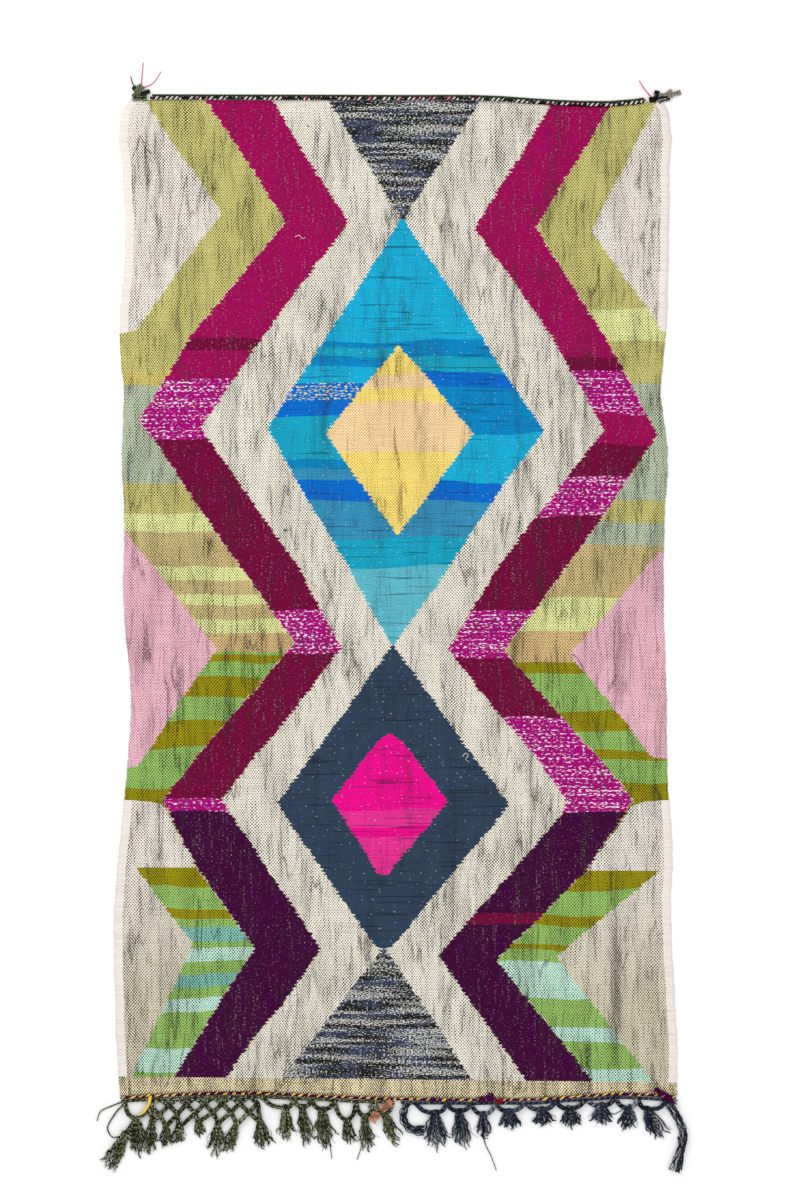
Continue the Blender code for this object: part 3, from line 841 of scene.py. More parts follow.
def with_melange(place, colour, masks, bands, grit):
    """Colour with short pale rows over black and navy ones, in the half lozenges."""
    blue_tint = stretched(place, 9.0, 40.0, 11).ramp(0.46, 0.62)
    limit = bands.ramp(0.38, 0.62, 0.68, 0.48)
    melange = mix(blue_tint, WOOL_BLACK, WOOL_NAVY)
    melange = mix((grit - limit).ramp(0.0, 0.05), melange, WOOL_GREY)
    return mix(masks["melange"], colour, melange)


def worn(place, colour, masks, speck):
    """Colour with pale rubbed spots and dark lines in the heart, and small dark knots all over."""
    rubbed = (stretched(place, 110.0, 200.0, 17) > 0.78) * masks["heart"]
    colour = mix(rubbed * 0.5, colour, WORN_PALE)
    lines = (stretched(place, 5.0, 190.0, 15) > 0.70) * masks["heart"]
    colour = mix(lines * 0.6, colour, WORN_LINE)
    knots = (speck > 0.80) * (1 - masks["melange"])
    return mix(knots * 0.8, colour, KNOT_DARK)


print("rows of dashes to a hand's width", round(0.10 / DASH_PITCH))

# %% [markdown]
# The finishes are laid over the chart in the order in which they would cover each other:
# the plain selvedge, the warp, the uneven dye of each row, shadow in creases and cracks,
# and last the odd fibres. The lattice of the dots also serves as a shallow bump, so that
# each weft is a small hill between two dots.

# %% The woven cloth
SELVEDGE_WIDTH = 0.021
COLOURED_SELVEDGE = (101, 168)  # between these two heights, in cm, it has the cloth's own colours
DARK_WARP, ROW_SHADE, CREASE_SHADE = paint(26, 24, 20), paint(20, 16, 18), paint(44, 42, 36)
WEFT_BUMP = 0.0005


def cloth_material():
    """The whole finish of the cloth."""
    material, place, surface = finish("woven_wool_and_cotton")
    x = place.node("SeparateXYZ", inputs={0: place})
    down = TOP_Y - x.also("Y")
    down_cm = down / CM
    colour, masks = weave_chart(place, x - MIDDLE_X, down)
    crease = place.node("Attribute", {"attribute_name": "crease"}, output="Fac")
    rim = place.node("Attribute", {"attribute_name": "rim"}, output="Fac")
    speck = stretched(place, 260.0, 260.0, 5)
    grit = stretched(place, 190.0, 400.0, 9)
    bands = stretched(place, 5.0, 74.0, 10, 2.0)

    plain_edge = (down_cm < COLOURED_SELVEDGE[0]) + (down_cm > COLOURED_SELVEDGE[1])
    selvedge = (rim < SELVEDGE_WIDTH) * masks["outer"] * (1 - masks["end"]) * plain_edge
    colour = mix(selvedge, colour, SELVEDGE)

    crack = cracks(place, speck)
    dots, lattice, slack = warp_dots(place, x, down, masks, speck, crack, crease)
    strength = 0.97 - masks["vivid"] * 0.15 - masks["heart"] * 0.42 - masks["stone"] * 0.34
    strength = strength - masks["outer"] * (1 - plain_edge) * 0.2
    colour = mix(dots * (1 - selvedge) * strength, colour, DARK_WARP)

    rows = stretched(place, 9.0, 330.0, 6)
    colour = mix(rows.ramp(0.3, 0.75, 0.0, 0.20), colour, mix(rows, colour, ROW_SHADE))
    shade = crease * 0.16 + crack * 0.6 * (1 - masks["heart"] * 0.6)
    colour = mix(shade * (1 - selvedge), colour, CREASE_SHADE)

    colour = dashed(place, down, colour, masks, slack, bands, grit)
    colour = with_melange(place, colour, masks, bands, grit)
    colour = worn(place, colour, masks, speck)
    apply_to(surface, colour, lattice, WEFT_BUMP)
    return material


CLOTH = make_cloth(cloth_material())
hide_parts("rug_field")

# %% [markdown]
# Yarn is a tube along a path, and plied yarn is two or three tubes wound round one path.
# All the yarns of a piece are worked out together, as arrays of (yarn, step, xyz), which
# keeps thousands of rings as quick as one. A curve object with a bevel would do for one
# yarn, but it can't carry a tone for each strand or the angle round it, which the
# material needs for its spun fibres.

# %% Paths
def through(points, steps):
    """A smooth path through a few points, with each point's slope taken from its neighbours."""
    points = np.array(points, float)
    chord = np.concatenate(([0], np.cumsum(np.linalg.norm(np.diff(points, axis=0), axis=1))))
    slope = np.gradient(points, chord, axis=0)
    at = np.linspace(0, chord[-1], steps)
    i = np.clip(np.searchsorted(chord, at, side="right") - 1, 0, len(points) - 2)
    width = (chord[i + 1] - chord[i])[:, None]
    t = (at - chord[i])[:, None] / width
    start = (1 + 2 * t) * (1 - t) ** 2 * points[i] + t * (1 - t) ** 2 * width * slope[i]
    end = t * t * (3 - 2 * t) * points[i + 1] + t * t * (t - 1) * width * slope[i + 1]
    return start + end


def directions(paths, upright=(0.0, 0.0, 1.0)):
    """Unit vectors out to each path's side and up from it."""
    along = np.gradient(paths, axis=-2)
    along /= np.linalg.norm(along, axis=-1, keepdims=True)
    side = np.cross(along, upright)
    side /= np.linalg.norm(side, axis=-1, keepdims=True)
    return side, np.cross(side, along)


def run_of(paths):
    """Distance along each path, at each of its steps."""
    steps = np.linalg.norm(np.diff(paths, axis=-2), axis=-1)
    return np.concatenate((np.zeros_like(steps[..., :1]), np.cumsum(steps, axis=-1)), axis=-1)


def below(across, drop, height):
    """A place in millimetres, across from the middle line and below the bottom edge, as x, y, z."""
    x = MIDDLE_X + np.asarray(across, float) * MM
    y = np.interp(x, *BOTTOM_EDGE) - np.asarray(drop, float) * MM
    return np.stack(np.broadcast_arrays(x, y, np.asarray(height, float) * MM), axis=-1)


def above(across, rise, height):
    """A place in millimetres, across from the middle line and above the top edge, as x, y, z."""
    x = MIDDLE_X + np.asarray(across, float) * MM
    y = np.interp(x, *TOP_EDGE) + np.asarray(rise, float) * MM
    return np.stack(np.broadcast_arrays(x, y, np.asarray(height, float) * MM), axis=-1)


print("y of the bottom edge, left to right", np.round(below((-600, 0, 600), 0, 0)[:, 1], 4).tolist())

# %% Yarns, gathered until they become one piece
PLY_SHARE = {2: 0.52, 3: 0.49}  # a ply's radius as a share of the yarn's, by the number of plies


class Yarns:
    """Collects tubes. Each point keeps its strand's tone, and its angle and distance along it."""

    def __init__(self, seed):
        self.rng = np.random.default_rng(seed)
        self.points, self.faces, self.tones, self.spins = [], [], [], []
        self.count = 0

    def tubes(self, paths, radii, tones, sides=6, upright=(0.0, 0.0, 1.0)):
        """Adds closed tubes: point = path + radius (cos(a) side + sin(a) up), for a round each ring."""
        paths = np.asarray(paths, float)
        strands, steps = paths.shape[:2]
        radii = np.broadcast_to(radii, (strands, steps))
        tones = np.broadcast_to(tones, (strands,))
        side, up = directions(paths, upright)
        angle = np.arange(sides) * math.tau / sides
        cos, sin = np.cos(angle)[:, None], np.sin(angle)[:, None]
        ring = cos * side[:, :, None, :] + sin * up[:, :, None, :]
        points = paths[:, :, None, :] + radii[:, :, None, None] * ring
        index = self.count + np.arange(points.size // 3).reshape(strands, steps, sides)
        turned = np.roll(index, -1, axis=2)
        quads = np.stack((index[:, :-1], index[:, 1:], turned[:, 1:], turned[:, :-1]), axis=-1)
        self.faces += quads.reshape(-1, 4).tolist()
        self.faces += index[:, 0].tolist() + index[:, -1, ::-1].tolist()
        carried = (cos[None, None, :, 0], sin[None, None, :, 0], run_of(paths)[:, :, None])
        spin = np.stack(np.broadcast_arrays(*carried), axis=-1)
        self.points.append(points.reshape(-1, 3))
        self.tones.append(np.broadcast_to(tones[:, None, None], index.shape).ravel())
        self.spins.append(spin.reshape(-1, 3))
        self.count += index.size

    def plied(self, paths, radius, plies, lay, tones, sides=5, flat=0.85):
        """Adds plied yarns. Ply = path + wind (cos(a) side + flat sin(a) up); a turns once in each lay."""
        paths = np.asarray(paths, float)
        radius = np.broadcast_to(radius, paths.shape[:2])
        share = PLY_SHARE[plies]
        side, up = directions(paths)
        start = self.rng.uniform(0, math.tau, (len(paths), 1))
        for ply in range(plies):
            turn = run_of(paths) / lay * math.tau + start + ply * math.tau / plies
            wind = (radius * (1 - share))[..., None]
            wound = wind * (np.cos(turn)[..., None] * side + flat * np.sin(turn)[..., None] * up)
            self.tubes(paths + wound, radius * share, tones[ply], sides)

    def become(self, name, material, node):
        """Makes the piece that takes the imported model's node's place."""
        piece = new_piece(name, np.concatenate(self.points), self.faces, material)
        give(piece, "tone", np.concatenate(self.tones))
        layer = piece.data.attributes.new("spin", "FLOAT_VECTOR", "POINT")
        layer.data.foreach_set("vector", np.concatenate(self.spins).astype(np.float32).ravel())
        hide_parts(node)


print("a ply takes up", PLY_SHARE, "of its yarn's radius")

# %% [markdown]
# Hand-spun yarn is never one flat colour. Its fibres run aslant round it, paler ones
# among them, and shade is painted dark into the grooves where the fibres part. The material
# reads the angle and the distance that each point of a yarn carries, so that the fibres
# follow every bend. Real hairs would be truer, but a fringe of them would be millions of faces.

# %% The yarn material
FIBRE_LAY = 0.007  # one turn of the fibres round the yarn
FIBRE_BUMP = 0.0006


def yarn_material(name, shades, pale, pale_share, patches=()):
    """Spun yarn. shades are (tone, colour) from the lowest tone up; pale fibres lie among them.

    Each patch is (tone to start from, colour, share): another colour along parts of the run.
    """
    material, place, surface = finish(name)
    tone = place.node("Attribute", {"attribute_name": "tone"}, output="Fac")
    spin = place.node("Attribute", {"attribute_name": "spin"}, output="Vector")
    parts = spin.node("SeparateXYZ", inputs={0: spin})
    angle = parts.also("Y").math("ARCTAN2", parts)
    run = parts.also("Z")
    aslant = angle / math.tau + run / FIBRE_LAY
    seat = aslant.node("CombineXYZ", inputs={0: aslant * 3, 1: run * 90, 2: tone * 37})
    fibre = seat.node("TexNoise", inputs={"Vector": seat, "Scale": 1.0, "Detail": 2.0})
    colour = tone.node("ValToRGB", {"stops": [(low, shade) for low, shade in shades]}, {"Fac": tone})
    for i, (low, second, share) in enumerate(patches):
        stretch = stretched(place, 60.0, 60.0, 21 + i)
        colour = mix((tone > low) * (stretch > 1 - share), colour, second)
    fleck = fibre.ramp(1 - pale_share, 1 - pale_share + 0.06)
    colour = mix(fleck * 0.8, colour, pale)
    groove = ((aslant * 4).math("FRACT") - 0.5).math("ABSOLUTE") * 2
    # Painted shade: the grooves between the fibres are darkened towards black
    colour = mix(groove.ramp(0.75, 1.0, 0.0, 0.5), colour, mix(tone, colour, paint(0, 0, 0)))
    apply_to(surface, colour, fibre * 0.6 - groove * 0.5, FIBRE_BUMP)
    return material


print("the fibres turn once in", FIBRE_LAY / MM, "mm")

# %% [markdown]
# The heading is twined: a dark and a pale strand wind round each other across the warp
# ends, and keep the first weft in place. The pale one turns pink along short stretches.
# A dark green two-ply cord lies outside it. Slanted stripes painted on a plain tube would
# look flat at the strands' edges, so both are strands wound round a path that follows the
# model's top edge.

# %% Heading: the twined row and the green cord
CLEAR = 0.5  # between neighbouring pieces, in millimetres like the other yarn sizes
TWINE_RADIUS, TWINE_TURNS, TWINE_ENDS = 4.2, 100, (-604.0, 608.0)
TURN_STEPS = 10
GREEN_CORD_RADIUS, GREEN_CORD_ENDS, GREEN_CORD_STEPS = 2.8, (-600.0, 604.0), 1100
GREEN_CORD_LAY = 0.010
CORD_NEST = 0.7  # how far the cord sinks in beside the twined row

DARK_GREEN, LEAF_GREEN, GREY_GREEN = paint(38, 50, 30), paint(62, 84, 44), paint(150, 160, 128)
NEAR_BLACK, WOOL_WHITE = paint(26, 24, 24), paint(226, 220, 210)
HOT_THREAD, ROSE_THREAD = paint(236, 40, 110), paint(226, 110, 150)


def green_yarn(name):
    """Dark green yarn. The tones from 0.8 up are the few pink threads that were tied in with it."""
    dark = ((0.0, DARK_GREEN), (0.4, LEAF_GREEN), (0.6, GREY_GREEN))
    shades = (*dark, (0.8, HOT_THREAD), (0.9, ROSE_THREAD))
    return yarn_material(name, shades, paint(150, 158, 128), 0.34)


def make_heading():
    twine = Yarns(1)
    across = np.linspace(*TWINE_ENDS, TWINE_TURNS * TURN_STEPS)
    path = above(across, CLEAR + TWINE_RADIUS, TWINE_RADIUS)[None]
    lay = (TWINE_ENDS[1] - TWINE_ENDS[0]) / TWINE_TURNS * MM
    twine.plied(path, TWINE_RADIUS * MM, 2, lay, (0.1, 0.7), sides=8, flat=0.8)
    shades = ((0.0, NEAR_BLACK), (0.5, WOOL_WHITE))
    patches = ((0.5, ROSE_THREAD, 0.40), (0.5, NEAR_BLACK, 0.47))
    material = yarn_material("black_and_white_yarn", shades, paint(150, 140, 136), 0.36, patches)
    twine.become("twined_heading", material, "heading_twining")


def make_green_cord():
    cord = Yarns(2)
    across = np.linspace(*GREEN_CORD_ENDS, GREEN_CORD_STEPS)
    out = 2 * TWINE_RADIUS + 2 * CLEAR + GREEN_CORD_RADIUS - CORD_NEST
    path = above(across, out, GREEN_CORD_RADIUS)[None]
    cord.plied(path, GREEN_CORD_RADIUS * MM, 2, GREEN_CORD_LAY, (0.2, 0.5), sides=6)
    cord.become("green_heading_cord", green_yarn("green_yarn"), "heading_cord")


make_heading()
make_green_cord()

# %% [markdown]
# The last row holds the weft in place: a purple strand runs along the bottom edge and a
# yellow one is stitched over it, aslant. Where the maker fastened off, purple tufts and
# a yellow tail stand out. One stitch copied along the edge would look machine-made, so
# each is an arch of its own length, slant and thickness.

# %% Stitches and the yellow tail
STITCH_RADIUS, STITCHES, STITCH_ENDS = 3.6, 66, (-677.0, 682.0)
STITCH_REACH, STITCH_SLANT, STITCH_THICK = 6.4, 2.8, 1.9
STITCH_FOOT, STITCH_ARCH = 4.6, 3.4  # how high a stitch starts, and rises over the purple strand
# The tail: across, below the edge, height
YELLOW_TAIL = (
    (-604, 4, 6.5), (-605, 9, 13.5), (-606, 17, 15.0), (-612, 30, 14.5), (-624, 44, 12.8), (-631, 47, 12.4),
)


def add_stitches(row):
    """Stitch = (middle + reach t, slant t, foot + arch sqrt(1 - t^2)) for t from -1 to 1."""
    rng = row.rng
    middle = np.linspace(STITCH_ENDS[0] + 8, STITCH_ENDS[1] - 8, STITCHES) + rng.uniform(-2.5, 2.5, STITCHES)
    t = np.linspace(-1, 1, 13)
    reach = STITCH_REACH * rng.uniform(0.45, 1.15, (STITCHES, 1))
    slant = STITCH_SLANT * rng.uniform(0.4, 1.5, (STITCHES, 1))
    x = middle[:, None] + reach * t
    drop = CLEAR + STITCH_RADIUS - slant * t - 1.6 + rng.uniform(-1.8, 1.8, (STITCHES, 1))
    height = STITCH_FOOT + STITCH_ARCH * np.sqrt(1 - t * t * 0.98)
    radii = STITCH_THICK * MM * (1 - 0.55 * np.abs(t) ** 3) * rng.uniform(0.6, 1.25, (STITCHES, 1))
    row.tubes(below(x, drop, height), radii, 0.5, sides=7)


def add_yellow_tail(row):
    """Three strands side by side, thinner towards the end."""
    steps = 30
    tail = below(*np.array(YELLOW_TAIL, float).T)
    for offset, tone in ((0.0, 0.5), (2.4, 0.55), (-2.2, 0.5)):
        path = through(tail + np.array((offset, offset * 0.3, -abs(offset) * 0.2)) * MM, steps)
        row.tubes(path[None], STITCH_THICK * MM * np.linspace(1.0, 0.7, steps), tone, sides=7)


print("stitches every", round((STITCH_ENDS[1] - STITCH_ENDS[0]) / STITCHES, 1), "mm")

# %% The tufts, and the whole row
PURPLE_STRAND, YELLOW_STRAND, RED_STRAND = paint(74, 0, 58), paint(250, 204, 84), paint(150, 10, 30)
# Tufts: across, below the edge, how wide, how many yarns, tone (purple below 0.4, red from 0.7)
TUFTS = (
    (90, 3, 10, 9, 0.15),
    (212, 2, 15, 12, 0.15),
    (228, -2, 15, 12, 0.15),
    (250, 5, 11, 9, 0.75),
    (638, -10, 12, 11, 0.15),
    (650, -3, 14, 13, 0.15),
    (663, 6, 14, 13, 0.15),
    (675, 15, 12, 11, 0.15),
)
STRAND_STEPS, STRAND_LAY = 1000, 0.016


def add_tuft(yarns, at, drop_at, wide, count, tone):
    """A small heap of short bent yarn ends: arcs of random turn, one over another."""
    rng = yarns.rng
    t = np.linspace(-1, 1, 12)[None]
    turn = rng.uniform(0, math.tau, (count, 1))
    bend = rng.uniform(-0.5, 0.5, (count, 1))
    length = rng.uniform(0.5, 1.0, (count, 1)) * wide
    u, w = length * t, bend * length * (1 - t * t)
    x = at + rng.uniform(-0.4, 0.4, (count, 1)) * wide + u * np.cos(turn) - w * np.sin(turn)
    drop = drop_at + rng.uniform(-0.25, 0.25, (count, 1)) * wide + u * np.sin(turn) * 0.6 + w * np.cos(turn)
    height = 6.4 + rng.uniform(0.0, 3.2, (count, 1)) + 1.4 * (1 - t * t)
    yarns.tubes(below(x, drop, height), 1.5 * MM * (1 - 0.5 * np.abs(t) ** 3), tone, sides=6)


def make_stitched_row():
    row = Yarns(3)
    across = np.linspace(*STITCH_ENDS, STRAND_STEPS)
    base = below(across, CLEAR + STITCH_RADIUS, STITCH_RADIUS)[None]
    row.plied(base, STITCH_RADIUS * MM, 2, STRAND_LAY, (0.1, 0.2), sides=6, flat=0.75)
    add_stitches(row)
    add_yellow_tail(row)
    for tuft in TUFTS:
        add_tuft(row, *tuft)
    shades = ((0.0, PURPLE_STRAND), (0.4, YELLOW_STRAND), (0.7, RED_STRAND))
    material = yarn_material("purple_and_yellow_yarn", shades, paint(200, 160, 120), 0.22)
    row.become("slanted_stitches", material, "end_stitches")


make_stitched_row()

# %% [markdown]
# The fringe is knotted from spare warp and thick yarn. On the left the cords cross twice,
# as a net, before they end in tassels; on the right each tassel hangs from one shallow
# swag. The tables hold the tassels, left to right: the place across, how far below the
# edge it is tied and ends, how far it leans, how wide it spreads, how many locks it has
# and how big its knot is. A row of equal tassels would be quicker to make, but in a fringe
# that was tied by hand no two are alike.

# %% Fringe: the tables
STRIP_RADIUS, NET_RADIUS, KNOT_RADIUS = 4.2, 5.928, 6.4
STRIP_DROP = CLEAR + 2 * STITCH_RADIUS + CLEAR + STRIP_RADIUS
NET_PITCH, NET_FIRST, NET_COLUMNS, NET_DROPS = 43.6, -581.0, 6, (28.0, 50.0)
OLIVE_SPAN, NAVY_SPAN = (-674.0, -8.0), (10.0, 676.0)
NET_TASSELS = (
    (-600, 70, 146, -6, 26, 3, 1.0),
    (-566, 80, 138, -4, 26, 3, 1.0),
    (-534, 84, 128, -4, 24, 3, 1.5),
    (-488, 72, 110, 6, 20, 3, 1.0),
    (-438, 76, 164, -8, 32, 4, 1.0),
    (-392, 80, 158, -26, 28, 4, 1.0),
    (-334, 76, 142, 6, 44, 5, 1.1),
)
OLIVE_TASSELS = (
    (-640, 58, 152, 10, 40, 5, 1.0),
    (-272, 37, 124, 0, 30, 4, 1.1),
    (-233, 33, 134, 12, 28, 4, 1.1),
    (-184, 37, 138, 8, 40, 5, 1.1),
    (-122, 62, 120, 4, 30, 4, 1.0),
    (-80, 50, 138, 6, 28, 4, 1.0),
    (-32, 42, 118, 24, 28, 4, 1.0),
)
END_TASSEL = (-664, 92, 186, -36, 32, 4, 1.7)
NAVY_TASSELS = (
    (93, 37, 128, 4, 56, 5, 1.1),
    (152, 32, 126, 8, 42, 4, 1.1),
    (211, 40, 104, 2, 30, 4, 1.1),
    (272, 32, 80, 6, 52, 5, 1.0),
    (355, 30, 74, 4, 46, 5, 1.0),
    (423, 32, 82, 4, 46, 5, 1.1),
    (502, 30, 80, -2, 48, 5, 1.1),
    (566, 38, 96, -4, 40, 4, 1.0),
    (612, 40, 114, 26, 50, 5, 1.1),
)
# Loose runs: radius, then points across and below the edge
OLIVE_LOOSE = (
    (2.6, ((-670, 13), (-698, 24), (-728, 40), (-735, 61))),
    (3.2, ((-663, 13), (-694, 48), (-709, 82), (-698, 100), (-668, 96))),
    (2.2, ((-184, 37), (-168, 96), (-160, 156))),
    (2.2, ((-80, 50), (-84, 110), (-98, 156))),
)
NAVY_LOOSE = (
    (7.4, ((24, 13), (14, 48), (32, 76), (66, 80))),
    (8.0, ((660, 13), (684, 48), (701, 92), (694, 132), (678, 184))),
    (3.4, ((688, 100), (700, 150), (696, 182))),
    (2.2, ((211, 40), (216, 112), (230, 142), (243, 177))),
    (2.0, ((502, 30), (530, 52), (560, 36))),
)
print("olive tassels", len(NET_TASSELS) + len(OLIVE_TASSELS) + 1, "navy tassels", len(NAVY_TASSELS))

# %% [markdown]
# The net's cords are three-ply and pass over and under each other, so each rises at every
# second point of its route. A knot is a yarn coiled round the cords that it ties. A ball
# would do from afar, but the turns of the coil are what one sees.

# %% Fringe: cords and knots
CORD_STEPS, SHORT_CORD_STEPS = 34, 24
CORD_LAY = 0.0135
KINDS = (0.05, 0.3, 0.55, 0.8)  # tones: darkest, mid, marled, pale
KIND_SHARES = (0.48, 0.32, 0.14, 0.06)


def add_cords(yarns, routes, steps=CORD_STEPS):
    """Three-ply cords along routes of a few (across, below the edge) points."""
    rng = yarns.rng
    paths = []
    for route in routes:
        height = np.full(len(route), NET_RADIUS * 0.95)
        height[1::2] += rng.uniform(0.5, 2.5)
        points = below(*np.array(route, float).T, height)
        paths.append(through(points, steps))
    tones = [rng.choice(KINDS, len(paths), p=KIND_SHARES) for _ in range(3)]  # one for each ply
    yarns.plied(np.array(paths), NET_RADIUS * MM, 3, CORD_LAY, tones, sides=6, flat=0.75)


def add_knot(yarns, across, drop, size=1.0, turns=2.6, lean=0.0):
    """A yarn coiled round the cords that it ties: a helix down the drop, flattened on the floor."""
    rng = yarns.rng
    t = np.linspace(0, 1, int(turns * 13))
    angle = t * turns * math.tau + rng.uniform(0, math.tau)
    # Widest half way down, like a bead
    wide = KNOT_RADIUS * size * (0.76 + 0.3 * np.sin(t * math.pi + rng.uniform(-0.5, 0.5)))
    x = across + wide * np.cos(angle) + lean * t
    down = drop + (t - 0.5) * 4.2 * turns * size + 1.6 * np.sin(angle + rng.uniform(0, math.tau))
    height = 1.9 * size + wide * 0.74 * (1 + np.sin(angle))
    path = below(x, down, height)[None]
    yarns.tubes(path, 2.1 * MM * size, rng.choice(KINDS[:2]), sides=7, upright=(0.0, 1.0, 0.0))


def add_rosette(yarns, across, drop, radius):
    """A wound knot seen from its end: a spiral that rises towards its middle."""
    turns = 3.2
    t = np.linspace(0.12, 1, 70)
    angle = t * turns * math.tau
    x, down = across + radius * t * np.cos(angle), drop + radius * t * np.sin(angle)
    height = 4.0 + 6.0 * (1 - t * t)
    tones = (yarns.rng.choice(KINDS[:2]), yarns.rng.choice(KINDS[2:]))
    yarns.plied(below(x, down, height)[None], 2.7 * MM, 2, 0.011, tones, sides=6)


print("a cord is", 2 * NET_RADIUS, "mm wide, and a knot", 2 * KNOT_RADIUS, "mm")

# %% [markdown]
# Cut wool springs back into the twist that it was spun with, so a tassel's locks are
# two-ply yarns that kink as they fall. A hair system would comb them too smooth. Each
# kink is a sum of three sines whose wavelengths differ from lock to lock, and finer single
# hairs lie among the locks.

# %% Fringe: tassels
LOCK_STEPS, LOCK_LAY = 28, 0.0105
LOCK_RADIUS, HAIR_RADIUS = 2.8, 0.6
LOCKS_DENSE, LOCKS_VERY_DENSE = 2.7, 3.6
WOUND_KNOT = 1.3  # knots above this size are wound, and show a rosette
KINK_WAVES = (38.0, 21.0, 12.0)


def add_tassel(yarns, row, dense=LOCKS_DENSE):
    """Locks that fan out below a knot, over half as many hairs that reach a little farther."""
    across, tie, tip, lean, spread, locks, size = row
    count = int(locks * dense)
    add_strands(yarns, row, count, LOCK_RADIUS, 1.0, 2)
    wider = (across, tie, tip, lean, spread * 1.1, locks, size)
    add_strands(yarns, wider, count // 2, HAIR_RADIUS, 1.04, 1)
    add_knot(yarns, across, tie - 2, min(size, 1.1), lean=lean * 6 / (tip - tie))
    if size > WOUND_KNOT:
        add_rosette(yarns, across, tie + 4, 7.4 * size)


def add_strands(yarns, row, count, radius, far, plies):
    """Strands of a tassel: x = knot + lean t + spread side t^0.8 + kinks, falling to reach t."""
    across, tie, tip, lean, spread, _, size = row
    rng = yarns.rng
    t = np.linspace(0, 1, LOCK_STEPS)[None]
    side = (np.linspace(-0.5, 0.5, count) + rng.uniform(-0.5, 0.5, count) / count)[:, None]
    # The outer strands are the shorter ones
    reach = (tip - tie) * far * (1 - 0.34 * np.abs(side) ** 1.3 * 2 + rng.uniform(-0.14, 0.05, (count, 1)))
    kink = np.zeros((count, LOCK_STEPS))
    rise = np.zeros((count, LOCK_STEPS))
    for wave in KINK_WAVES:
        phase = rng.uniform(0, math.tau, (2, count, 1))
        long = wave * rng.uniform(0.8, 1.25, (count, 1))
        kink += wave / 11 * np.sin(reach * t * math.tau / long + phase[0]) * rng.uniform(0.4, 1.1, (count, 1))
        rise += wave / 20 * np.sin(reach * t * math.tau / long + phase[1])
    # The cut ends curl aside over the last quarter or so
    curl = rng.normal(0, 7, (count, 1)) * np.clip(t - 0.72, 0, 1) ** 2 * 9
    x = across + side * 7 * size + lean * t + side * spread * t**0.8 + kink * t**0.6 + curl
    drop = tie - 3 + (reach + 3) * t + rise * 1.4 * t - np.abs(curl) * 0.5
    # Strands lie over one another in random order, and the heap is highest at the knot
    layer = rng.permutation(count)[:, None] / count
    pile = (3.4 + 6.6 * layer) * (1 - 0.62 * t) + rise * 0.5 * (0.3 + layer)
    height = np.maximum(pile, radius * 1.06)
    radii = radius * MM * (1 - 0.5 * t**9) * rng.uniform(0.8, 1.15, (count, 1))
    paths = below(x, drop, height)
    if plies == 2:
        tones = [rng.choice(KINDS, count, p=KIND_SHARES) for _ in range(2)]
        yarns.plied(paths, radii, 2, LOCK_LAY, tones, sides=5, flat=0.9)
    else:
        yarns.tubes(paths, radii, rng.choice(KINDS, count, p=KIND_SHARES), sides=3)


print("locks in the widest tassel", int(max(row[5] for row in OLIVE_TASSELS) * LOCKS_VERY_DENSE))

# %% [markdown]
# Some yarns hang loose at the corners and between the tassels. A thin one is a single
# two-ply yarn, and a thick one is a rope of many that sway round one path, because a
# single thick tube would look like a hose.

# %% Fringe: loose runs
LOOSE_STEPS = 60
ROPE_FROM, ROPE_YARNS = 4, 15  # the radius from which a run is a rope, and how many yarns it has


def add_loose(yarns, row):
    """A loose run: one two-ply yarn when thin, a rope of yarns side by side when thick."""
    radius, points = row
    points = np.array(points, float)
    thin = np.linspace(1.0, 0.62, LOOSE_STEPS)
    if radius < ROPE_FROM:
        path = through(below(points[:, 0], points[:, 1], radius * 0.9), LOOSE_STEPS)
        yarns.plied(path[None], radius * 0.8 * MM * thin, 2, 0.011, (0.3, 0.05), sides=6)
    else:
        spine = through(below(points[:, 0], points[:, 1], radius * 0.62), LOOSE_STEPS)
        add_rope(yarns, spine, radius, thin)


def add_rope(yarns, spine, radius, thin):
    """Yarn = spine + (seat fan + sway) side + lift up; the seats fan out towards the cut end."""
    rng = yarns.rng
    count = ROPE_YARNS
    side, up = directions(spine)
    seat = rng.uniform(-1, 1, (count, 1)) * radius * 1.1
    lift = rng.uniform(-0.1, 0.75, (count, 1)) * radius
    run = run_of(spine)[None]
    sway = rng.uniform(1.0, 2.2, (count, 1)) * np.sin(run / rng.uniform(0.003, 0.006, (count, 1)) + seat)
    fan = 1 + 0.5 * np.clip(np.linspace(-2.2, 1, LOOSE_STEPS), 0, 1)[None]
    path = spine[None] + ((seat * fan + sway) * MM)[..., None] * side + (lift * thin * MM)[..., None] * up
    path[..., 2] = np.maximum(path[..., 2], 1.7 * MM)  # none goes into the floor
    tones = [rng.choice(KINDS, count, p=KIND_SHARES) for _ in range(2)]
    yarns.plied(path, 1.6 * MM, 2, 0.0085, tones, sides=5)


print("loose runs", len(OLIVE_LOOSE), "olive and", len(NAVY_LOOSE), "navy")

# %% [markdown]
# The fringe hangs from a cord along the edge. From it the net's cords run aslant through
# two rows of crossings, and a swag's two cords meet at its tassel. Both are worked out from
# a pitch or from the tassels' own places, so that a moved tassel takes its cords along.

# %% Fringe: strip, swags and net
STRIP_STEPS = 420
CORD_TONES = KINDS[:3]


def add_strip(yarns, span):
    """The three-ply cord that the fringe hangs from, with a slight sway."""
    across = np.linspace(*span, STRIP_STEPS)
    sway = np.sin(across / 23.0) * 0.5
    path = below(across, STRIP_DROP + sway, STRIP_RADIUS)[None]
    yarns.plied(path, STRIP_RADIUS * MM, 3, CORD_LAY, CORD_TONES, sides=6, flat=0.8)


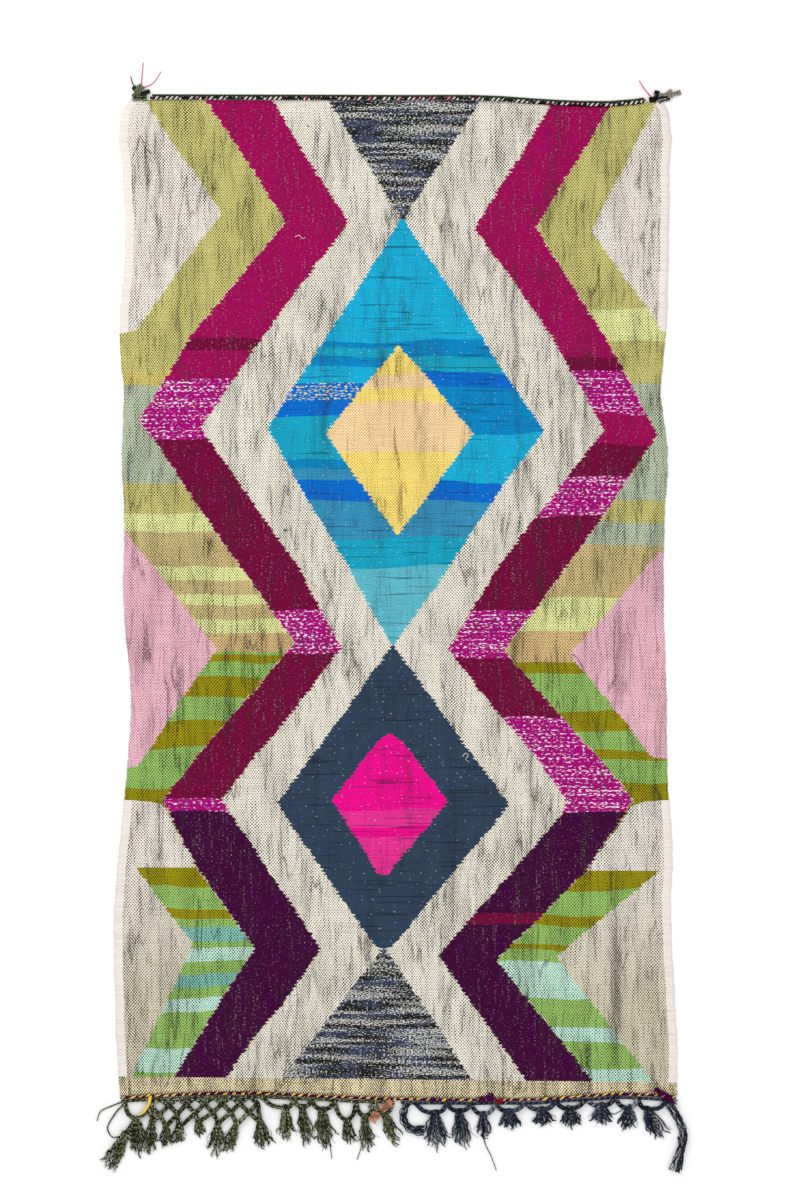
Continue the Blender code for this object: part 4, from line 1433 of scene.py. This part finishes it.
def add_swags(yarns, tassels, first, last):
    """Two bowed cords to each tassel, from the strip, midway to its neighbours."""
    places = [row[0] for row in tassels]
    ties = [first] + [(a + b) / 2 for a, b in zip(places, places[1:])] + [last]
    routes = []
    for row, left, right in zip(tassels, ties, ties[1:]):
        for tie in (left, right):
            bend = (tie * 0.6 + row[0] * 0.4, STRIP_DROP * 0.28 + row[1] * 0.72)
            routes.append(((tie, STRIP_DROP), bend, (row[0], row[1])))
    add_cords(yarns, routes)


def add_net(yarns):
    """Cords that run aslant through two rows of crossings, and the knots on the crossings."""
    places = [NET_FIRST + NET_PITCH * i for i in range(NET_COLUMNS)]
    half = NET_PITCH / 2
    upper_drop, lower_drop = NET_DROPS
    routes, knots = [], []
    for x in places:
        for way in (-1, 1):
            points = [(x, STRIP_DROP), (x + way * half, upper_drop)]
            if places[0] - 1 < x + way * NET_PITCH < places[-1] + 1:
                points.append((x + way * NET_PITCH, lower_drop))
            else:
                points.append((x + way * half * 1.1, lower_drop))
            routes.append(points)
        # Two short cords close the diamond below each crossing
        routes.append(((x - half, upper_drop), (x, lower_drop)))
        routes.append(((x + half, upper_drop), (x, lower_drop)))
        knots += [(x - half, upper_drop), (x, lower_drop)]
    ends = [(places[0] - half, upper_drop)] + [(x, lower_drop) for x in places]
    ends.append((places[-1] + half, upper_drop))
    # Each tassel of the net hangs from its two nearest crossings
    for row in NET_TASSELS:
        near = sorted(ends, key=lambda point: abs(point[0] - row[0]))[:2]
        routes += [(point, (row[0], row[1])) for point in near]
    jitter = yarns.rng.uniform(-1.5, 1.5, (len(knots), 2))
    add_cords(yarns, [route for route in routes if len(route) == 3])
    add_cords(yarns, [route for route in routes if len(route) == 2], steps=SHORT_CORD_STEPS)
    for (x, drop), (dx, dy) in zip(knots, jitter):
        add_knot(yarns, x + dx, drop + dy, 0.9, turns=1.6)


print("the net's crossings are", NET_PITCH, "mm apart in", len(NET_DROPS), "rows")

# %% [markdown]
# The two halves of the fringe use the same parts, in dark olive on the left and in dark
# navy on the right. Each half becomes one piece, because its cords, knots and locks run
# into each other and never move apart.

# %% Fringe: the olive half and the navy half
# Each yarn's shades: the tone from which it is used, and its colour
OLIVE_SHADES = (
    (0.0, paint(24, 28, 10)),
    (0.2, paint(50, 56, 22)),
    (0.45, paint(82, 88, 44)),
    (0.7, paint(150, 154, 112)),
)
NAVY_SHADES = (
    (0.0, paint(20, 22, 32)),
    (0.2, paint(38, 46, 66)),
    (0.45, paint(70, 78, 94)),
    (0.7, paint(140, 144, 154)),
)
# A cord that crosses the others beside the rag: across, below the edge, height
CROSSING = ((-70, 24, 6), (-48, 30, 15.6), (-30, 40, 15.6), (-12, 54, 6))


def make_olive_fringe():
    yarns = Yarns(11)
    add_strip(yarns, OLIVE_SPAN)
    add_net(yarns)
    add_swags(yarns, OLIVE_TASSELS[:1], OLIVE_SPAN[0] + 6, NET_FIRST - NET_PITCH / 2)
    add_swags(yarns, OLIVE_TASSELS[1:], NET_FIRST + NET_PITCH * (NET_COLUMNS - 0.3), OLIVE_SPAN[1] - 3)
    edge = OLIVE_TASSELS[0]
    add_cords(yarns, [((edge[0], edge[1]), (END_TASSEL[0], END_TASSEL[1]))])
    for row in NET_TASSELS + OLIVE_TASSELS[1:]:
        add_tassel(yarns, row)
    for row in (OLIVE_TASSELS[0], END_TASSEL):
        add_tassel(yarns, row, LOCKS_VERY_DENSE)
    crossing = through(below(*np.array(CROSSING, float).T), 30)
    yarns.plied(crossing[None], STRIP_RADIUS * MM, 3, CORD_LAY, CORD_TONES, sides=6)
    for row in OLIVE_LOOSE:
        add_loose(yarns, row)
    material = yarn_material("olive_yarn", OLIVE_SHADES, paint(206, 210, 184), 0.42)
    yarns.become("olive_net_fringe", material, "fringe_olive")


def make_navy_fringe():
    yarns = Yarns(23)
    add_strip(yarns, NAVY_SPAN)
    add_swags(yarns, NAVY_TASSELS, NAVY_SPAN[0] + 34, NAVY_SPAN[1] - 14)
    for row in NAVY_TASSELS:
        add_tassel(yarns, row)
    for row in NAVY_LOOSE:
        add_loose(yarns, row)
    material = yarn_material("navy_yarn", NAVY_SHADES, paint(178, 182, 192), 0.38)
    yarns.become("navy_tassel_fringe", material, "fringe_navy")


make_olive_fringe()
make_navy_fringe()

# %% [markdown]
# At the two top corners the warp's last ends are tied in a bunch. Most are dark green, and
# a few fine pink ones stand away from the rug. A bunch is worked out like the loose runs
# of the fringe: many thin yarns that sway round one short path.

# %% Tied ends: the tables
END_STEPS = 26
SINGLE_BELOW = 3  # a bunch with a smaller radius is a single two-ply yarn
SINGLE_RADII = (1.8, 1.3)
# Start, middle and end (across, above the edge), the bunch's radius, its tones
LEFT_ENDS = (
    ((-648, 6.2), (-632, 6.4), (-613, 6.2), 8.5, (0.1, 0.3, 0.65)),
    ((-640, 8), (-632, 24), (-624, 34), 9.0, (0.1, 0.3, 0.65)),
    ((-620, 4), (-632, 16), (-646, 32), 6.0, (0.1, 0.3, 0.3)),
    ((-644, 4), (-626, 14), (-606, 22), 5.0, (0.1, 0.3, 0.3)),
    ((-634, 22), (-646, 36), (-653, 58), 2.4, (0.1, 0.3)),
    ((-627, 31), (-625, 58), (-622, 92), 2.3, (0.85, 0.95)),
    ((-625, 30), (-602, 38), (-578, 70), 2.2, (0.95, 0.95)),
)
RIGHT_ENDS = (
    ((617, 6), (630, 6), (636, 24), 7.5, (0.1, 0.3, 0.1)),
    ((629, 9), (648, 8), (664, 8), 7.6, (0.3, 0.6, 0.1)),
    ((640, -6), (652, 0), (668, 2), 6.0, (0.6, 0.6, 0.1)),
    ((655, 8), (674, 12), (694, 19), 5.2, (0.1, 0.6, 0.1)),
    ((650, 8), (660, 18), (672, 25), 4.2, (0.6, 0.6, 0.8)),
    ((624, 9), (606, 34), (593, 57), 2.2, (0.95, 0.95)),
)
print("bunches of ends", len(LEFT_ENDS), "left and", len(RIGHT_ENDS), "right")


# %% Tied ends: the bunches
BUNCH_YARN, BUNCH_LAY = 1.5, 0.0075


def add_bunch(yarns, start, middle, end, radius, tones):
    """A bunch of yarn ends round one path, or a single two-ply yarn where it is thin."""
    route = np.array((start, middle, end), float)
    rng = yarns.rng
    spine = through(above(route[:, 0], route[:, 1], radius * 0.62), END_STEPS)
    if radius < SINGLE_BELOW:
        yarns.plied(spine[None], np.linspace(*SINGLE_RADII, END_STEPS) * MM, 2, 0.008, tones, sides=6)
        return
    count = int(radius * 2.2)
    side, up = directions(spine)
    seat = rng.uniform(-1, 1, (count, 1)) * (radius - BUNCH_YARN)
    lift = rng.uniform(-0.3, 0.8, (count, 1)) * (radius - BUNCH_YARN) * 0.8
    run = run_of(spine)[None]
    sway = rng.uniform(0.6, 1.8, (count, 1)) * np.sin(run / rng.uniform(0.002, 0.004, (count, 1)) + seat)
    path = spine[None] + ((seat + sway) * MM)[..., None] * side + (lift * MM)[..., None] * up
    path[..., 2] = np.maximum(path[..., 2], 1.6 * MM)
    picked = rng.choice(tones, (2, count))
    yarns.plied(path, BUNCH_YARN * MM, 2, BUNCH_LAY, list(picked), sides=5)


def black_white_ends():
    """Yarn for the right corner: black, dark green and white ones, with a crimson thread."""
    wool = ((0.0, NEAR_BLACK), (0.25, DARK_GREEN), (0.5, paint(206, 200, 186)))
    shades = (*wool, (0.75, paint(150, 90, 90)), (0.9, HOT_THREAD))
    return yarn_material("black_and_white_ends", shades, paint(170, 166, 152), 0.34)


def make_corner(name, ends, seed, material, node):
    yarns = Yarns(seed)
    for start, middle, end, radius, tones in ends:
        add_bunch(yarns, start, middle, end, radius, tones)
    yarns.become(name, material, node)


make_corner("left_tied_ends", LEFT_ENDS, 31, green_yarn("green_yarn_ends"), "corner_left")
make_corner("right_tied_ends", RIGHT_ENDS, 32, black_white_ends(), "corner_right")

# %% [markdown]
# A scrap of brown rag is caught in the fringe near the middle, over the net. It is a
# narrow sheet on a bent path, crumpled along its length by a few crossed sines. A cloth
# simulation isn't worth its while for a scrap of this size.

# %% The rag scrap
RAG = ((-12, 6), (-30, 20), (-48, 34), (-62, 56))  # across, below the stitched row's middle
RAG_WIDTH, RAG_THICK, RAG_HEIGHT = 20.02, 1.6, 11.8
RAG_ROWS, RAG_COLUMNS = 40, 12
RAG_BROWN, RAG_DARK, RAG_PALE = paint(206, 142, 108), paint(128, 66, 46), paint(232, 180, 154)


def rag_material():
    """A plain fine weave, darker brown in random patches, with pale pink on its grain that is partly the
    weave and partly painted highlight.
    """
    material, place, surface = finish("brown_rag")
    weave = stretched(place, 700.0, 500.0, 41)
    dark_patches = stretched(place, 60.0, 60.0, 42, 2.0)
    colour = mix(dark_patches.ramp(0.42, 0.6), RAG_BROWN, RAG_DARK)
    # Pale pink on the weave's grain: partly the weave, partly painted highlight
    colour = mix(weave.ramp(0.45, 0.7, 0.0, 0.5), colour, RAG_PALE)
    apply_to(surface, colour, weave, 0.0005)
    return material


def make_rag():
    """place = path + width v side; height = RAG_HEIGHT + crumples; the lower face is a copy below."""
    rows, columns = RAG_ROWS, RAG_COLUMNS
    points = np.array(RAG, float)
    spine = through(below(points[:, 0], points[:, 1] + CLEAR + STITCH_RADIUS, RAG_HEIGHT), rows)
    side, _ = directions(spine)
    v = np.linspace(-0.5, 0.5, columns)[None]
    u = np.linspace(0, 1, rows)[:, None]
    waist = 0.3 * np.exp(-(((u - 0.45) / 0.1) ** 2))
    wide = RAG_WIDTH * (1 + 0.12 * np.sin(u * 19) + 0.08 * np.sin(u * 47 + 1) - waist)
    top = spine[:, None, :] + (wide * v * MM)[..., None] * side[:, None, :]
    crumple = 1.6 * np.sin(v * 9 + 3 * np.sin(u * 8)) + 1.3 * np.sin(u * 24 + v * 7) - 1.6 * np.abs(v)
    top[..., 2] += crumple * MM
    low = top - np.array((0, 0, RAG_THICK * MM))
    index = np.arange(rows * columns).reshape(rows, columns)
    upper = np.stack((index[:-1, :-1], index[:-1, 1:], index[1:, 1:], index[1:, :-1]), axis=-1)
    upper = upper.reshape(-1, 4)
    under = upper[:, ::-1] + rows * columns
    edge = np.concatenate((index[0, :-1], index[:-1, -1], index[-1, :0:-1], index[:0:-1, 0]))
    far = np.roll(edge, -1)
    rim = np.stack((far, edge, edge + rows * columns, far + rows * columns), axis=-1)
    faces = np.concatenate((upper, under, rim)).tolist()
    points = np.concatenate((top.reshape(-1, 3), low.reshape(-1, 3)))
    rag = new_piece("caught_rag", points, faces, rag_material())
    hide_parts("rag_scrap")
    print("rag", len(rag.data.vertices), "points")


make_rag()

# %% [markdown]
# Short ends of thread stay on the cloth where a weft was joined. Each is a thin curl that
# rests on the upper face. They could be painted, but a curl of wool stands up from the
# cloth and is seen from the side as well.

# %% Stray threads on the cloth
THREAD_STEPS = 24
THREAD_LIFT = 0.0012  # of a thread's middle above the cloth
# Tone, radius in millimetres, then points (across, down from the top edge)
THREADS = (
    (0.9, 0.9, ((160, 1608), (168, 1600), (174, 1606), (168, 1614), (176, 1622))),
    (0.1, 0.8, ((429, 1358), (440, 1366), (452, 1386), (460, 1402))),
    (0.1, 0.8, ((-262, 1170), (-254, 1164), (-248, 1172), (-242, 1166))),
    (0.9, 0.9, ((-250, 336), (-240, 332), (-232, 340), (-224, 337))),
    (0.1, 1.3, ((-277, 1052), (-272, 1056), (-268, 1052))),
    (0.1, 0.8, ((-560, 2252), (-550, 2258), (-558, 2268), (-548, 2272))),
    (0.1, 1.3, ((-612, 122), (-606, 128), (-602, 134))),
    (0.1, 1.2, ((-608, 144), (-602, 150))),
    (0.1, 1.5, ((-220, 62), (-216, 67))),
    (0.9, 0.8, ((64, 1352), (72, 1360), (84, 1358))),
)


def make_threads():
    yarns = Yarns(51)
    for tone, radius, route in THREADS:
        route = np.array(route, float)
        height = np.full(len(route), THICKNESS + THREAD_LIFT)
        points = np.stack((MIDDLE_X + route[:, 0] * MM, TOP_Y - route[:, 1] * MM, height), axis=-1)
        radii = radius * MM * np.linspace(1.0, 0.6, THREAD_STEPS)
        yarns.tubes(through(points, THREAD_STEPS)[None], radii, tone, sides=6)
    shades = ((0.0, paint(44, 42, 44)), (0.5, paint(234, 228, 220)))
    material = yarn_material("stray_thread", shades, paint(190, 186, 180), 0.3)
    yarns.become("stray_threads", material, "rug_field")


make_threads()
